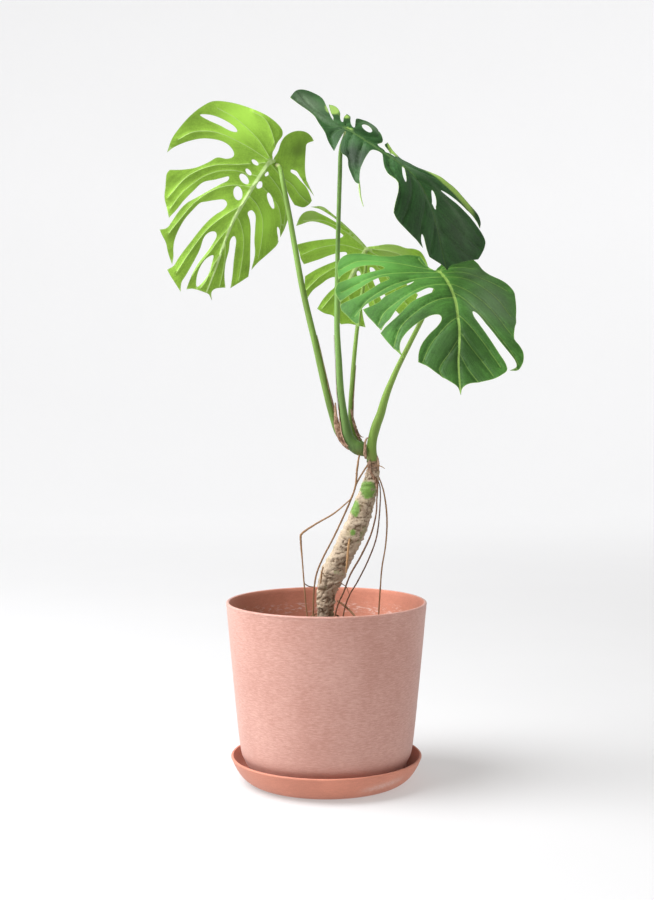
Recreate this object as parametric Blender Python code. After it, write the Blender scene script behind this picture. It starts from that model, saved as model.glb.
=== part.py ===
"""Potted monstera: a split-leaf plant with aerial roots, in a turned pot that stands in a saucer.

Metres, +Z up. The origin is the centre of the saucer's flat underside, and the plant's open
side faces -Y. Every separate piece is one object: saucer, pot, soil, stem, petioles, leaf
blades, dry sheaths and roots.
"""
import math

import bmesh
import bpy
import numpy as np
from mathutils import Vector
from mathutils.geometry import delaunay_2d_cdt

MM = 0.001
GAP = 0.0004                # clearance between neighbouring pieces

# --- saucer and pot: driving dimensions ---------------------------------------------------
SAUCER_RADIUS = 0.1168
SAUCER_HEIGHT = 0.0317
SAUCER_WALL = 0.0034
SAUCER_FLOOR = 0.0045
SAUCER_FOOT_RADIUS = 0.088

POT_RIM_RADIUS = 0.1225
POT_RIM_HEIGHT = 0.2199     # above the saucer's underside
POT_SHOULDER_RADIUS = 0.1060
POT_SHOULDER_HEIGHT = 0.046  # where the straight wall turns in towards the base
POT_FOOT_RADIUS = 0.079
POT_WALL = 0.0040
POT_FLOOR = 0.0080
DRAIN_RADIUS = 0.0100
POT_BASE = SAUCER_FLOOR + GAP
TURNED_SIDES = 48

SOIL_TOP = 0.1720
SOIL_BASE = POT_BASE + POT_FLOOR + GAP

# --- plant ---------------------------------------------------------------------------------
BLADE_THICKNESS = 0.0008
GRID = 0.0125               # spacing of the points inside a blade
MARGIN_STEP = 0.0075        # spacing of the points along a blade's margin
EASING = 0.020              # length over which a blade's bends are smoothed
DOME = (0.12, 0.45, 1.0)    # where a round end's rings lie, in radii from its tip
TIP = True                  # marks a sharp point on a margin

COLOURS = {
    "saucer": ((0.64, 0.28, 0.20), 0.55),
    "pot": ((0.66, 0.37, 0.31), 0.75),
    "soil": ((0.07, 0.045, 0.03), 0.95),
    "bark": ((0.30, 0.23, 0.15), 0.85),
    "petiole": ((0.16, 0.32, 0.06), 0.45),
    "blade_pale": ((0.22, 0.42, 0.06), 0.45),
    "blade_dark": ((0.02, 0.10, 0.03), 0.35),
    "blade_mid": ((0.08, 0.24, 0.05), 0.40),
    "sheath": ((0.38, 0.24, 0.13), 0.80),
    "root": ((0.27, 0.16, 0.09), 0.80),
}


# --- small tools ---------------------------------------------------------------------------
def material(slot):
    """The material of that name, made on first use."""
    found = bpy.data.materials.get(slot)
    if found:
        return found
    colour, roughness = COLOURS[slot]
    made = bpy.data.materials.new(slot)
    made.use_nodes = True
    shader = made.node_tree.nodes["Principled BSDF"]
    shader.inputs["Base Color"].default_value = (*colour, 1.0)
    shader.inputs["Roughness"].default_value = roughness
    shader.inputs["Metallic"].default_value = 0.0
    return made


def add_object(name, mesh, slot, sharp=50.0):
    """Link a mesh as a named object, with faces out and smooth shading below the sharp angle."""
    work = bmesh.new()
    work.from_mesh(mesh)
    bmesh.ops.recalc_face_normals(work, faces=work.faces)
    work.to_mesh(mesh)
    work.free()
    mesh.shade_smooth()
    mesh.set_sharp_from_angle(angle=math.radians(sharp))
    mesh.materials.append(material(slot))
    made = bpy.data.objects.new(name, mesh)
    bpy.context.scene.collection.objects.link(made)
    return made


def mesh_from(name, points, faces):
    """A mesh from its points and faces."""
    mesh = bpy.data.meshes.new(name)
    mesh.from_pydata([tuple(point) for point in points], [], faces)
    mesh.validate()
    return mesh


def smooth_line(points, step):
    """A Catmull-Rom curve through the points, sampled evenly about every step metres."""
    points = [np.array(point, float) for point in points]
    line = [points[0] * 2 - points[1], *points, points[-1] * 2 - points[-2]]
    dense = []
    for before, start, end, after in zip(line, line[1:], line[2:], line[3:]):
        for t in np.linspace(0, 1, 24, endpoint=False):
            dense.append(0.5 * (2 * start + (end - before) * t
                                + (2 * before - 5 * start + 4 * end - after) * t ** 2
                                + (3 * start - before - 3 * end + after) * t ** 3))
    dense.append(points[-1])
    dense = np.array(dense)
    along = lengths_along(dense)
    count = max(2, int(round(along[-1] / step)) + 1)
    return at_places(dense, along, np.linspace(0, along[-1], count))


def lengths_along(line):
    """How far along the line each of its points is."""
    return np.r_[0, np.cumsum(np.linalg.norm(np.diff(line[:, :3], axis=0), axis=1))]


def at_places(line, along, places):
    """The line's points, and its radius where it has one, at some places along it."""
    return np.stack([np.interp(places, along, line[:, axis]) for axis in range(line.shape[1])], 1)


def frames_along(line):
    """Two side vectors for every point of a line, carried along it without twist."""
    tangents = np.gradient(line, axis=0)
    tangents /= np.linalg.norm(tangents, axis=1)[:, None]
    side = np.cross(tangents[0], (0.0, 1.0, 0.0))
    side /= np.linalg.norm(side)
    sides = []
    for tangent in tangents:
        side = side - tangent * side.dot(tangent)
        side /= np.linalg.norm(side)
        sides.append(side)
    return np.array(sides), np.cross(tangents, sides)


def domed(line):
    """The same line with extra stations at both ends, where its radius closes in a dome."""
    along = lengths_along(line)
    first, last, total = line[0, 3], line[-1, 3], along[-1]
    near = [first * part for part in DOME]
    far = [total - last * part for part in reversed(DOME)]
    between = [place for place in along if near[-1] + first / 2 < place < far[0] - last / 2]
    places = np.array([0, *near, *between, *far, total])
    line = at_places(line, along, places)
    for radius, depth in ((first, places), (last, total - places)):
        line[:, 3] *= np.sqrt(1 - (1 - np.clip(depth / radius, 0, 1)) ** 2)
    return line


def tube_mesh(name, line, sides):
    """A round tube with domed ends along a line of (x, y, z, radius)."""
    line = domed(line)
    across, beyond = frames_along(line[:, :3])
    verts = [line[0, :3]]
    for station, side, other in list(zip(line, across, beyond))[1:-1]:
        for turn in np.arange(sides) * math.tau / sides:
            verts.append(station[:3] + station[3] * (math.cos(turn) * side + math.sin(turn) * other))
    verts.append(line[-1, :3])
    last = 1 + (len(line) - 3) * sides
    faces = []
    for k in range(sides):
        after = (k + 1) % sides
        faces.append((0, 1 + after, 1 + k))
        faces.append((len(verts) - 1, last + k, last + after))
        for low in range(1, last, sides):
            faces.append((low + k, low + after, low + sides + after, low + sides + k))
    return mesh_from(name, verts, faces)


def turned(name, profile, slot):
    """A turned piece: a closed (radius, height) outline spun about the vertical axis."""
    work = bmesh.new()
    ring = [work.verts.new((radius, 0.0, height)) for radius, height in profile]
    loop = list(zip(ring, ring[1:]))
    if profile[0][0] > 0:
        loop.append((ring[-1], ring[0]))
    edges = [work.edges.new(pair) for pair in loop]
    bmesh.ops.spin(work, geom=ring + edges, axis=(0, 0, 1), cent=(0, 0, 0), angle=math.tau,
                   steps=TURNED_SIDES, use_merge=True)
    bmesh.ops.remove_doubles(work, verts=work.verts, dist=1e-6)
    mesh = bpy.data.meshes.new(name)
    work.to_mesh(mesh)
    work.free()
    return add_object(name, mesh, slot, sharp=40)


def arc(centre, radius, start, end, count):
    """Points on an arc in the (radius, height) plane, angles in degrees."""
    turns = np.radians(np.linspace(start, end, count))
    return [(centre[0] + radius * math.cos(t), centre[1] + radius * math.sin(t)) for t in turns]


# --- saucer, pot and soil ------------------------------------------------------------------
def build_saucer():
    """A shallow dish, as (radius, height) points: flat foot, curved wall and round lip."""
    lip = SAUCER_WALL / 2
    rim = (SAUCER_RADIUS - lip, SAUCER_HEIGHT - lip)
    outer_wall = [(SAUCER_FOOT_RADIUS, 0.0), (0.0965, 0.0028), (0.1035, 0.0078), (0.1090, 0.0145),
                  (0.1135, 0.0225)]
    inner_wall = [(0.1098, 0.0225), (0.1052, 0.0150), (0.0995, 0.0092), (0.0930, 0.0058)]
    profile = [(0.0, 0.0), *outer_wall, *arc(rim, lip, 0, 180, 5), *inner_wall,
               (SAUCER_FOOT_RADIUS - 0.004, SAUCER_FLOOR), (0.0, SAUCER_FLOOR)]
    return turned("saucer", profile, "saucer")


def pot_inner_radius(height):
    """The radius of the pot's inner wall at a height."""
    rise = (height - POT_SHOULDER_HEIGHT) / (POT_RIM_HEIGHT - POT_SHOULDER_HEIGHT)
    return POT_SHOULDER_RADIUS + rise * (POT_RIM_RADIUS - POT_SHOULDER_RADIUS) - POT_WALL


def build_pot():
    """A tapering pot, as (radius, height) points: round shoulder, thin wall and drain hole."""
    lip = POT_WALL / 2
    rim = (POT_RIM_RADIUS - lip, POT_RIM_HEIGHT - lip)
    outer_wall = [(POT_FOOT_RADIUS, POT_BASE), (0.0865, 0.0085), (0.0945, 0.0165),
                  (0.1005, 0.0270), (POT_SHOULDER_RADIUS, POT_SHOULDER_HEIGHT), (0.1140, 0.1250)]
    inner_wall = [(pot_inner_radius(0.1250), 0.1250),
                  (pot_inner_radius(POT_SHOULDER_HEIGHT), POT_SHOULDER_HEIGHT),
                  (0.0955, 0.0290), (0.0880, 0.0190), (0.0780, POT_BASE + POT_FLOOR)]
    profile = [(DRAIN_RADIUS, POT_BASE), *outer_wall, *arc(rim, lip, 0, 180, 5), *inner_wall,
               (DRAIN_RADIUS, POT_BASE + POT_FLOOR)]
    return turned("pot", profile, "pot")


def build_soil():
    """The root ball's compost: it fills the pot, and the stem stands in a socket in it."""
    shrunk = 0.004          # the compost has drawn back from the wall at its surface
    wall = [(0.0770, SOIL_BASE), (0.0866, 0.0200), (0.0941, 0.0300),
            (pot_inner_radius(POT_SHOULDER_HEIGHT) - GAP, POT_SHOULDER_HEIGHT + 0.001),
            (pot_inner_radius(SOIL_TOP) - 2 * GAP, SOIL_TOP - 0.003),
            (pot_inner_radius(SOIL_TOP) - shrunk, SOIL_TOP)]
    soil = turned("soil", [(0.0, SOIL_BASE), *wall, (0.0, SOIL_TOP)], "soil")
    cutter = build_stem("stem_socket", GAP)
    cutter.hide_render = True
    cutter.display_type = "WIRE"
    socket = soil.modifiers.new("socket", "BOOLEAN")
    socket.operation = "DIFFERENCE"
    socket.object = cutter
    return soil


# --- stem, as (x, y, z, radius) in millimetres -----------------------------------------------
STEM_ROUTE = [
    (-3, 1, 135, 8), (-2, 1, 160, 10.5), (-1, 0, 185, 10.5), (-1, 0, 207, 10.2), (-1, 0, 219, 11.4),
    (0, 0, 230, 11.4), (4, 0, 243, 14.2), (10, 0, 258, 14.8), (18, 0, 273, 13.6),
    (27, 0, 292, 13.9), (37, 0, 312, 13.8), (43.5, 0, 331, 12.6), (51.5, 0, 356, 10.6),
    (55, 0, 370, 9.2), (57, 0, 382, 7.6), (56, 0, 392, 7.0), (54.5, 0, 404.5, 6.2)]
LEAF_SCARS = [216, 243, 257, 278, 300, 318, 344, 366]   # heights of the rings round the stem
SCAR_DEPTH = 0.0009
SCAR_WIDTH = 0.0035


def build_stem(name, extra):
    """The woody stem, thicker by extra all round; old leaf scars ring it."""
    line = smooth_line(np.array(STEM_ROUTE) * MM, 0.0066)
    for height in LEAF_SCARS:
        line[:, 3] += SCAR_DEPTH * np.exp(-((line[:, 2] - height * MM) / SCAR_WIDTH) ** 2)
    line[:, 3] += extra
    line[0, 2] -= 3 * extra
    return add_object(name, tube_mesh(name, line, 16), "bark", sharp=80)


# --- leaf blades ---------------------------------------------------------------------------
class BladeForm:
    """Where a blade lies. The flat pattern's u runs along the midrib from the sinus to the
    tip, and v to the side. The midrib's line turns by the pitch angles, and each side folds
    up (or down) from it and then droops in an arc."""

    def __init__(self, sinus, heading, upward, pitch, sides, size=1.0):
        self.size = size
        self.sinus = np.array(sinus, float) * MM
        self.heading = np.array(heading, float) / np.linalg.norm(heading)
        upward = np.array(upward, float) - np.dot(upward, self.heading) * self.heading
        self.upward = upward / np.linalg.norm(upward)
        self.left = np.cross(self.upward, self.heading)
        self.stations = np.linspace(-0.20, 0.35, 1101)
        pitch = np.array(pitch, float)
        self.pitch = np.radians(self.eased(pitch[:, 0], pitch[:, 1]))
        step = self.stations[1] - self.stations[0]
        self.forward = self.running(np.cos(self.pitch)) * step
        self.drop = self.running(np.sin(self.pitch)) * step
        sides = np.array(sides, float)
        self.fold_left, self.droop_left, self.fold_right, self.droop_right = (
            self.eased(sides[:, 0], sides[:, column]) for column in range(1, 5))

    def eased(self, places, values):
        """Values given at places in millimetres, joined up and smoothed."""
        line = np.interp(self.stations, places * MM, values)
        half = int(EASING / (self.stations[1] - self.stations[0])) // 2
        weights = np.hanning(2 * half + 1)
        padded = np.r_[[line[0]] * half, line, [line[-1]] * half]
        return np.convolve(padded, weights / weights.sum(), "valid")

    def running(self, values):
        """The running sum of the values, zero at the sinus."""
        total = np.r_[0, np.cumsum((values[1:] + values[:-1]) / 2)]
        return total - np.interp(0, self.stations, total)

    def at(self, u, v):
        """The point of the pattern (u, v), in metres, and the blade's upper normal there."""
        u, v = u * self.size, v * self.size
        read = [np.interp(u, self.stations, line) for line in (
            self.pitch, self.forward, self.drop, self.fold_left, self.droop_left,
            self.fold_right, self.droop_right)]
        pitch, forward, drop, fold_left, droop_left, fold_right, droop_right = read
        midrib = self.sinus + forward * self.heading - drop * self.upward
        normal = math.cos(pitch) * self.upward + math.sin(pitch) * self.heading
        fold = math.radians(fold_left if v >= 0 else fold_right)
        droop = droop_left if v >= 0 else droop_right
        turn = fold + droop * abs(v)
        out = (math.sin(turn) - math.sin(fold)) / droop
        rise = (math.cos(fold) - math.cos(turn)) / droop
        side = 1 if v >= 0 else -1
        point = midrib + side * out * self.left + rise * normal
        return point, math.cos(turn) * normal - side * math.sin(turn) * self.left


def margin_points(outline):
    """A closed margin from hand-placed points: smooth runs between the sharp tips."""
    tips = [k for k, point in enumerate(outline) if len(point) > 2]
    if not tips:
        ring = [np.array(point[:2], float) * MM for point in outline]
        wrapped = smooth_line([*ring[-2:], *ring, *ring[:2]], MARGIN_STEP * 0.7)
        start = np.argmin(np.linalg.norm(wrapped[:len(wrapped) // 2] - ring[0], axis=1))
        ends = np.linalg.norm(wrapped - ring[0], axis=1)
        ends[:start + 3] = 1.0
        return wrapped[start:int(np.argmin(ends))]
    joined = []
    for first, last in zip(tips, tips[1:] + [tips[0] + len(outline)]):
        run = [outline[k % len(outline)][:2] for k in range(first, last + 1)]
        joined.extend(smooth_line([np.array(point) * MM for point in run], MARGIN_STEP)[:-1])
    return np.array(joined)


def inside(point, loop):
    """Even-odd test of a point against a closed loop."""
    x, y = point
    x1, y1 = loop[:, 0], loop[:, 1]
    x2, y2 = np.roll(x1, -1), np.roll(y1, -1)
    crosses = (y1 > y) != (y2 > y)
    with np.errstate(divide="ignore", invalid="ignore"):
        reach = x1 + (y - y1) / (y2 - y1) * (x2 - x1)
    return bool(np.count_nonzero(crosses & (x < reach)) % 2)


def flat_pattern(loops):
    """Triangles of the blade's flat pattern: points on the loops and on a grid inside."""
    points = []
    edges = []
    for loop in loops:
        first = len(points)
        points.extend(loop)
        edges.extend((first + k, first + (k + 1) % len(loop)) for k in range(len(loop)))
    border = np.array(points)
    low, high = border.min(0), border.max(0)
    for row, u in enumerate(np.arange(low[0], high[0], GRID * 0.866)):
        for v in np.arange(low[1] + (row % 2) * GRID / 2, high[1], GRID):
            spot = np.array((u, v))
            clear = np.linalg.norm(border - spot, axis=1).min() > 0.45 * GRID
            if clear and sum(inside(spot, loop) for loop in loops) == 1:
                points.append(spot)
    flat = [Vector(point) for point in points]
    verts, _, faces, *_ = delaunay_2d_cdt(flat, edges, [], 0, 1e-7, False)
    kept = []
    for face in faces:
        middle = np.mean([verts[k] for k in face], axis=0)
        if sum(inside(middle, loop) for loop in loops) == 1:
            kept.append(tuple(face))
    return verts, kept


def build_blade(name):
    """A leaf blade: its flat pattern laid on its form, and thickened on the underside."""
    form, outline, holes, slot = BLADES[name]
    loops = [margin_points(outline), *[margin_points(hole) for hole in holes]]
    verts, faces = flat_pattern(loops)
    mesh = mesh_from(name, [form.at(*vert)[0] for vert in verts], faces)
    made = add_object(name, mesh, slot, sharp=80)
    centre = faces[len(faces) // 2]
    normal = form.at(*np.mean([verts[k] for k in centre], axis=0))[1]
    if np.dot(mesh.polygons[len(faces) // 2].normal, normal) < 0:
        mesh.flip_normals()
    thicken = made.modifiers.new("thickness", "SOLIDIFY")
    thicken.thickness = BLADE_THICKNESS
    thicken.offset = -1.0
    return made


def oval(u, v, long, wide, turn):
    """A hole: an oval about (u, v), its long half-axis turned from the u axis by turn degrees."""
    lean = math.radians(turn)
    ring = []
    for t in np.arange(8) * math.tau / 8:
        a, b = long * math.cos(t), wide * math.sin(t)
        ring.append((u + a * math.cos(lean) - b * math.sin(lean),
                     v + a * math.sin(lean) + b * math.cos(lean)))
    return ring


# Margins are in millimetres of the flat pattern, as (u along the midrib, v to the left).
LEFT_FORM = BladeForm(
    sinus=(-73.1, 33.4, 759.6), heading=(-0.46, 0.16, -0.87), upward=(0, 1, 0.25),
    pitch=[(-100, 0), (0, 0), (200, 7)],
    sides=[(0, 2, -1.2, 38, 0.5), (60, 2, -1.2, 30, 0.5), (160, 0.5, -1.2, 10, 0.5)])
LEFT_MARGIN = [
    (-3, -7, TIP), (-12, -2), (-25, -2), (-36, -4), (-44, 5), (-48, 25), (-46, 50), (-41, 72),
    (-33, 90), (-20, 100), (-5, 107), (12, 112), (30, 115), (48, 113, TIP), (38, 108), (25, 97),
    (13, 82), (6, 65), (5, 52), (9, 42), (15, 39), (21, 45), (25, 56), (35, 63), (48, 74),
    (58, 88), (65, 101, TIP), (72, 102), (85, 97), (98, 92), (108, 84), (118, 76, TIP), (104, 72),
    (90, 69), (75, 64), (60, 58), (50, 46), (42, 37), (39, 33), (44, 32), (52, 38), (65, 47),
    (80, 57), (92, 65), (105, 69), (120, 71), (130, 73), (136, 80, TIP), (141, 74), (147, 66),
    (157, 58), (168, 47, TIP), (158, 50), (148, 55), (138, 58), (125, 59), (110, 58), (95, 54),
    (84, 50), (79, 44), (73, 36), (67, 26), (70, 20), (78, 21), (88, 27), (100, 32), (115, 36),
    (130, 39), (145, 42), (158, 44), (168, 45), (176, 50, TIP), (181, 43), (187, 33),
    (193, 23, TIP), (182, 27), (170, 26), (150, 25), (135, 25), (120, 27), (111, 24), (107, 18),
    (111, 14), (120, 14), (135, 16), (150, 19), (165, 20), (180, 19), (187, 18, TIP), (183, 12),
    (181, 4), (180, -4), (180, -10), (185, -17, TIP), (176, -12), (169, -15), (163, -25, TIP),
    (150, -17), (135, -11), (120, -8), (108, -4), (101, -6), (105, -11), (116, -15), (130, -20),
    (145, -26), (161, -31, TIP), (150, -38), (138, -46, TIP), (125, -42), (110, -35), (95, -28),
    (84, -23), (75, -17), (68, -10), (63, -14), (67, -22), (80, -28), (95, -34), (110, -42),
    (129, -46, TIP), (116, -51), (104, -58), (90, -65), (83, -66, TIP), (75, -60), (67, -56),
    (69, -60), (77, -66, TIP), (65, -67), (52, -66), (40, -63), (28, -52), (17, -40), (20, -45),
    (28, -57), (34, -68, TIP), (32, -82), (26, -89), (20, -92, TIP), (14, -85), (8, -75),
    (4, -62), (1, -52), (0, -42), (-3, -41), (-4, -50), (-1, -58), (6, -72), (14, -94, TIP),
    (3, -76), (-9, -64), (-20, -56), (-32, -49), (-40, -46), (-47, -54, TIP), (-51, -46),
    (-52, -34), (-47, -20), (-38, -10), (-28, -7), (-15, -9)]
LEFT_HOLES = [
    [(-11, 97), (-17, 85), (-19, 70), (-18, 55), (-14, 48), (-11, 56), (-11, 70), (-10, 85)],
    oval(9, 12, 5, 2.4, 100), oval(23, 14, 5, 2.4, 112), oval(33, 15, 7.5, 4.2, 112),
    oval(52, 14, 8.5, 5.5, 145), oval(31, -7, 4.8, 4.0, 0), oval(15, -9, 3.2, 2.2, 0),
    oval(42, -32, 12, 3.0, 128),
    [(134, 7), (142, 13), (155, 15), (168, 13), (178, 8), (170, 4), (157, 2), (145, 4)]]

TOP_FORM = BladeForm(
    sinus=(21.8, -45, 784.5), heading=(0.76, -0.42, -0.50), upward=(0.45, -0.22, 0.86),
    size=0.973,
    pitch=[(-100, 0), (0, 0), (90, 5), (120, 22), (150, 38), (180, 48), (260, 52)],
    sides=[(-100, 26, -1, -25, -3), (-40, 26, -1, -35, -4), (0, 24, -1, -52, -5),
           (30, 24, -2, -52, -5), (60, 18, -2, -52, -5), (90, 6, -3, -25, -4),
           (120, 22, -2, -10, -3), (260, 26, -1, -5, -3)])
TOP_MARGIN = [
    (-21, 3, TIP), (-29, 8), (-41, 18), (-55, 29), (-65, 36), (-74, 39), (-83, 39), (-91, 37),
    (-96, 30), (-96, 20), (-92, 9), (-87, -2, TIP), (-70, -4), (-55, -5), (-42, -8), (-30, -14),
    (-15, -20), (-4, -27), (11, -34, TIP), (8, -24), (5, -12), (4, -4), (7, -7), (8, -14),
    (12, -22), (20, -31), (32, -33), (42, -42), (52, -48), (62, -53), (78, -60, TIP),
    (67, -49), (58, -38), (54, -28), (51, -18), (50, -9), (56, -5), (63, -5), (68, -9),
    (76, -17), (88, -28), (100, -37), (112, -42), (122, -45), (130, -50), (140, -57), (150, -65),
    (160, -72), (170, -78, TIP), (179, -75), (188, -67), (197, -58), (205, -48),
    (212, -41, TIP), (203, -40), (195, -37), (199, -35), (213, -34), (222, -32, TIP),
    (226, -22), (230, -12), (236, 1, TIP), (231, 6), (228, 18), (225, 34), (223, 48),
    (222, 57, TIP), (215, 65), (207, 72), (199, 75), (190, 71), (178, 60), (167, 49), (157, 40),
    (147, 30), (139, 24), (143, 31), (153, 42), (165, 53, TIP), (168, 57), (176, 65),
    (185, 69, TIP), (178, 73), (170, 72), (160, 63), (153, 58), (146, 54), (137, 50), (127, 44),
    (115, 41), (100, 34), (90, 24), (82, 12), (70, 15), (58, 20), (48, 25, TIP), (51, 15),
    (60, 10), (70, 7), (77, 4), (68, 2), (58, 2), (49, 3), (46, 10), (44, 20), (33, 31),
    (20, 39), (8, 42), (-2, 41), (-8, 34), (-5, 27), (0, 20), (6, 11), (1, 11), (-7, 19),
    (-14, 28), (-22, 31, TIP), (-18, 20), (-10, 8), (-14, 9), (-20, 15), (-28, 25), (-37, 32),
    (-45, 34), (-51, 31, TIP), (-45, 25), (-35, 16), (-26, 9)]
TOP_HOLES = [oval(16, 23, 10.5, 6, -36), oval(110, -18, 20, 2.2, -42), oval(150, 6, 13, 3.2, -18)]

BACK_FORM = BladeForm(
    sinus=(51.3, 90, 657.3), heading=(-0.45, 0.3, -0.84), upward=(0.05, 1, 0.3),
    pitch=[(0, 0), (200, 10)], sides=[(0, 0, -1, 0, -1)])
BACK_MARGIN = [
    (-2, 1, TIP), (-9, 20), (-15, 40), (-20, 60), (-22, 75), (-15, 88, TIP), (-18, 76),
    (-17, 62), (-15, 50), (-12, 46), (-13, 60), (-13, 73), (-12, 83), (-6, 91), (3, 94),
    (15, 93, TIP), (10, 88), (2, 80), (-2, 70), (-4, 55), (-3, 44), (-1, 34), (5, 38), (12, 50),
    (22, 65), (30, 75), (36, 82, TIP), (42, 76), (50, 69), (55, 62, TIP), (48, 55), (40, 47),
    (32, 40), (25, 33), (19, 26), (17, 20), (23, 19), (33, 28), (42, 36), (55, 46), (68, 54, TIP),
    (75, 51), (85, 46), (95, 38, TIP), (87, 38), (78, 36), (68, 31), (58, 26), (52, 20), (54, 15),
    (64, 14), (72, 17), (85, 20), (99, 21, TIP), (100, 10), (98, -2), (103, -16, TIP),
    (98, -24), (95, -34), (92, -46, TIP), (80, -36), (68, -28), (57, -20), (54, -24),
    (62, -34), (74, -46), (84, -58, TIP), (78, -64), (70, -68, TIP), (60, -58), (50, -47),
    (38, -32), (28, -21), (20, -15), (19, -21), (28, -32), (40, -45), (50, -60), (56, -76, TIP),
    (46, -82), (34, -86), (22, -86, TIP), (18, -70), (13, -52), (9, -36), (6, -32), (6, -44),
    (8, -60), (7, -76), (1, -86, TIP), (-10, -84), (-20, -76), (-28, -64), (-28, -54),
    (-24, -44), (-22, -32), (-17, -20), (-9, -9)]
BACK_HOLES = [oval(16, 9, 4, 2.5, 60), oval(30, 10, 5, 3, 50), oval(34, -6, 4, 2.5, -40)]

RIGHT_FORM = BladeForm(
    sinus=(129.8, -75, 615.3), heading=(0.08, -0.80, -0.58), upward=(0, -0.5, 0.85),
    pitch=[(-60, 0), (0, 0), (200, 32)],
    sides=[(-60, 0, -2, 3, -1.5), (0, -3, -4, 2, -1.5), (60, -8, -4, 0, -2), (200, 0, -3, 0, -2)])
RIGHT_MARGIN = [
    (-1, -4, TIP), (-12, -11), (-22, -14), (-33, -17, TIP), (-35, -32), (-34, -50), (-37, -65),
    (-42, -80), (-44, -93), (-42, -104), (-34, -112), (-20, -116), (4, -117, TIP), (-5, -111),
    (-13, -100), (-17, -88), (-17, -76), (-14, -66), (-9, -62), (-6, -68), (-3, -80), (0, -92),
    (4, -105), (9, -118, TIP), (20, -122), (31, -121), (41, -118, TIP), (33, -108), (24, -95),
    (15, -82), (9, -70), (9, -60), (14, -60), (19, -70), (27, -82), (35, -95), (40, -106),
    (45, -119, TIP), (54, -118), (63, -113), (73, -108), (85, -101, TIP), (72, -99), (60, -97),
    (52, -91), (46, -82), (40, -71), (30, -51), (24, -39), (20, -31), (26, -37), (33, -50),
    (42, -67), (49, -74), (54, -83), (58, -94, TIP), (70, -90), (80, -85), (90, -80),
    (97, -77, TIP), (88, -72), (80, -65), (70, -59), (61, -52), (50, -41), (42, -28), (36, -17),
    (39, -11), (45, -14), (51, -25), (58, -38), (67, -47), (77, -56), (86, -65), (93, -72),
    (101, -78, TIP), (108, -75), (116, -71), (125, -65), (139, -55, TIP), (128, -59),
    (116, -57), (105, -50), (95, -40), (88, -30), (82, -19), (82, -10), (89, -9), (98, -15),
    (108, -25), (120, -34), (132, -39), (144, -41, TIP), (150, -32), (160, -22), (170, -10),
    (178, -1), (188, 1, TIP), (179, 4), (174, 12), (172, 25), (169, 38), (164, 48), (157, 56),
    (147, 56), (135, 52), (120, 47), (105, 41), (92, 35), (80, 30), (71, 30), (75, 36),
    (88, 43), (100, 50), (115, 57), (130, 64), (142, 69), (151, 68), (157, 59, TIP), (156, 68),
    (150, 74), (140, 79), (128, 81), (118, 79), (108, 75), (100, 76), (85, 80), (70, 86),
    (50, 90), (30, 91), (17, 90), (8, 83), (3, 75), (-2, 62), (-9, 54), (-20, 49), (-31, 40),
    (-37, 27), (-34, 13), (-22, 6), (-11, 4)]
RIGHT_HOLES = []

BLADES = {
    "blade_left": (LEFT_FORM, LEFT_MARGIN, LEFT_HOLES, "blade_pale"),
    "blade_top": (TOP_FORM, TOP_MARGIN, TOP_HOLES, "blade_dark"),
    "blade_back": (BACK_FORM, BACK_MARGIN, BACK_HOLES, "blade_pale"),
    "blade_right": (RIGHT_FORM, RIGHT_MARGIN, RIGHT_HOLES, "blade_mid"),
}

# --- petioles: where each meets its blade, and its route as (x, y, z, radius) ----------------
PETIOLES = {
    "petiole_left": (LEFT_FORM, (0, -14), [
        (48, 4, 399, 3.6), (37, 8.5, 400, 4.4), (25, 9.5, 405, 4.6), (15, 10, 416, 4.6),
        (10, 10, 433, 4.6), (4, 9, 459, 4.5), (-5, 7, 496, 4.2), (-13, 6, 532, 4.1),
        (-22, 7, 569, 3.9), (-30, 9, 605, 3.7), (-38, 13, 649, 3.4), (-46, 15, 695, 3.1),
        (-54, 15, 735, 2.8)]),
    "petiole_centre": (TOP_FORM, (1, 3), [
        (47, -4, 402.5, 6.8), (37, -5, 404, 7.2), (29, -5, 409, 6.9), (24, -5, 419, 6.1),
        (21.5, -4.5, 435, 5.3), (19, -3, 459, 4.8), (17, -2, 477, 4.5), (15, 1, 514, 4.0),
        (13, 3, 550, 3.6), (13, 4, 587, 3.2), (13.5, 1, 635, 2.9), (14, -5, 664, 2.8),
        (15, -15, 699, 2.8), (16, -28, 732, 2.7), (17, -35, 760, 2.5)]),
    "petiole_back": (BACK_FORM, (4, 0), [
        (50, 7.5, 407, 3.0), (45, 13, 410, 3.1), (40, 16, 415, 3.2), (34, 18, 425, 3.3),
        (30, 20, 440, 3.2), (30, 22, 459, 3.1), (31, 25, 477, 3.0), (34, 33, 514, 2.8),
        (38, 41, 552, 2.6), (43, 52, 585, 2.4), (47, 64, 615, 2.2), (50, 72, 638, 2.1)]),
    "petiole_right": (RIGHT_FORM, (4, 0), [
        (54, -1, 405.3, 5.0), (54, -2, 418, 5.3), (58, -5, 434, 5.7), (64, -8, 448, 5.3),
        (69, -12, 463, 4.8), (74, -17, 477, 4.3), (80, -23, 492, 3.7), (86, -28, 506, 3.3),
        (99, -40, 533, 3.1), (114, -53, 564, 2.9), (126, -60, 592, 2.5)]),
}
KNEE = 0.010                # how far below its blade a petiole straightens up to meet it
KNEE_RADIUS = 0.0022


def build_petiole(name):
    """A leaf's stalk: its top turns in a knee to meet the blade's underside squarely."""
    form, (u, v), route = PETIOLES[name]
    spot, normal = form.at(u * MM, v * MM)
    top = spot - normal * (BLADE_THICKNESS + GAP)
    knee = spot - normal * KNEE
    points = [*(np.array(route) * MM), (*knee, KNEE_RADIUS), (*top, KNEE_RADIUS)]
    return add_object(name, tube_mesh(name, smooth_line(points, 0.015), 10), "petiole", sharp=80)


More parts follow.
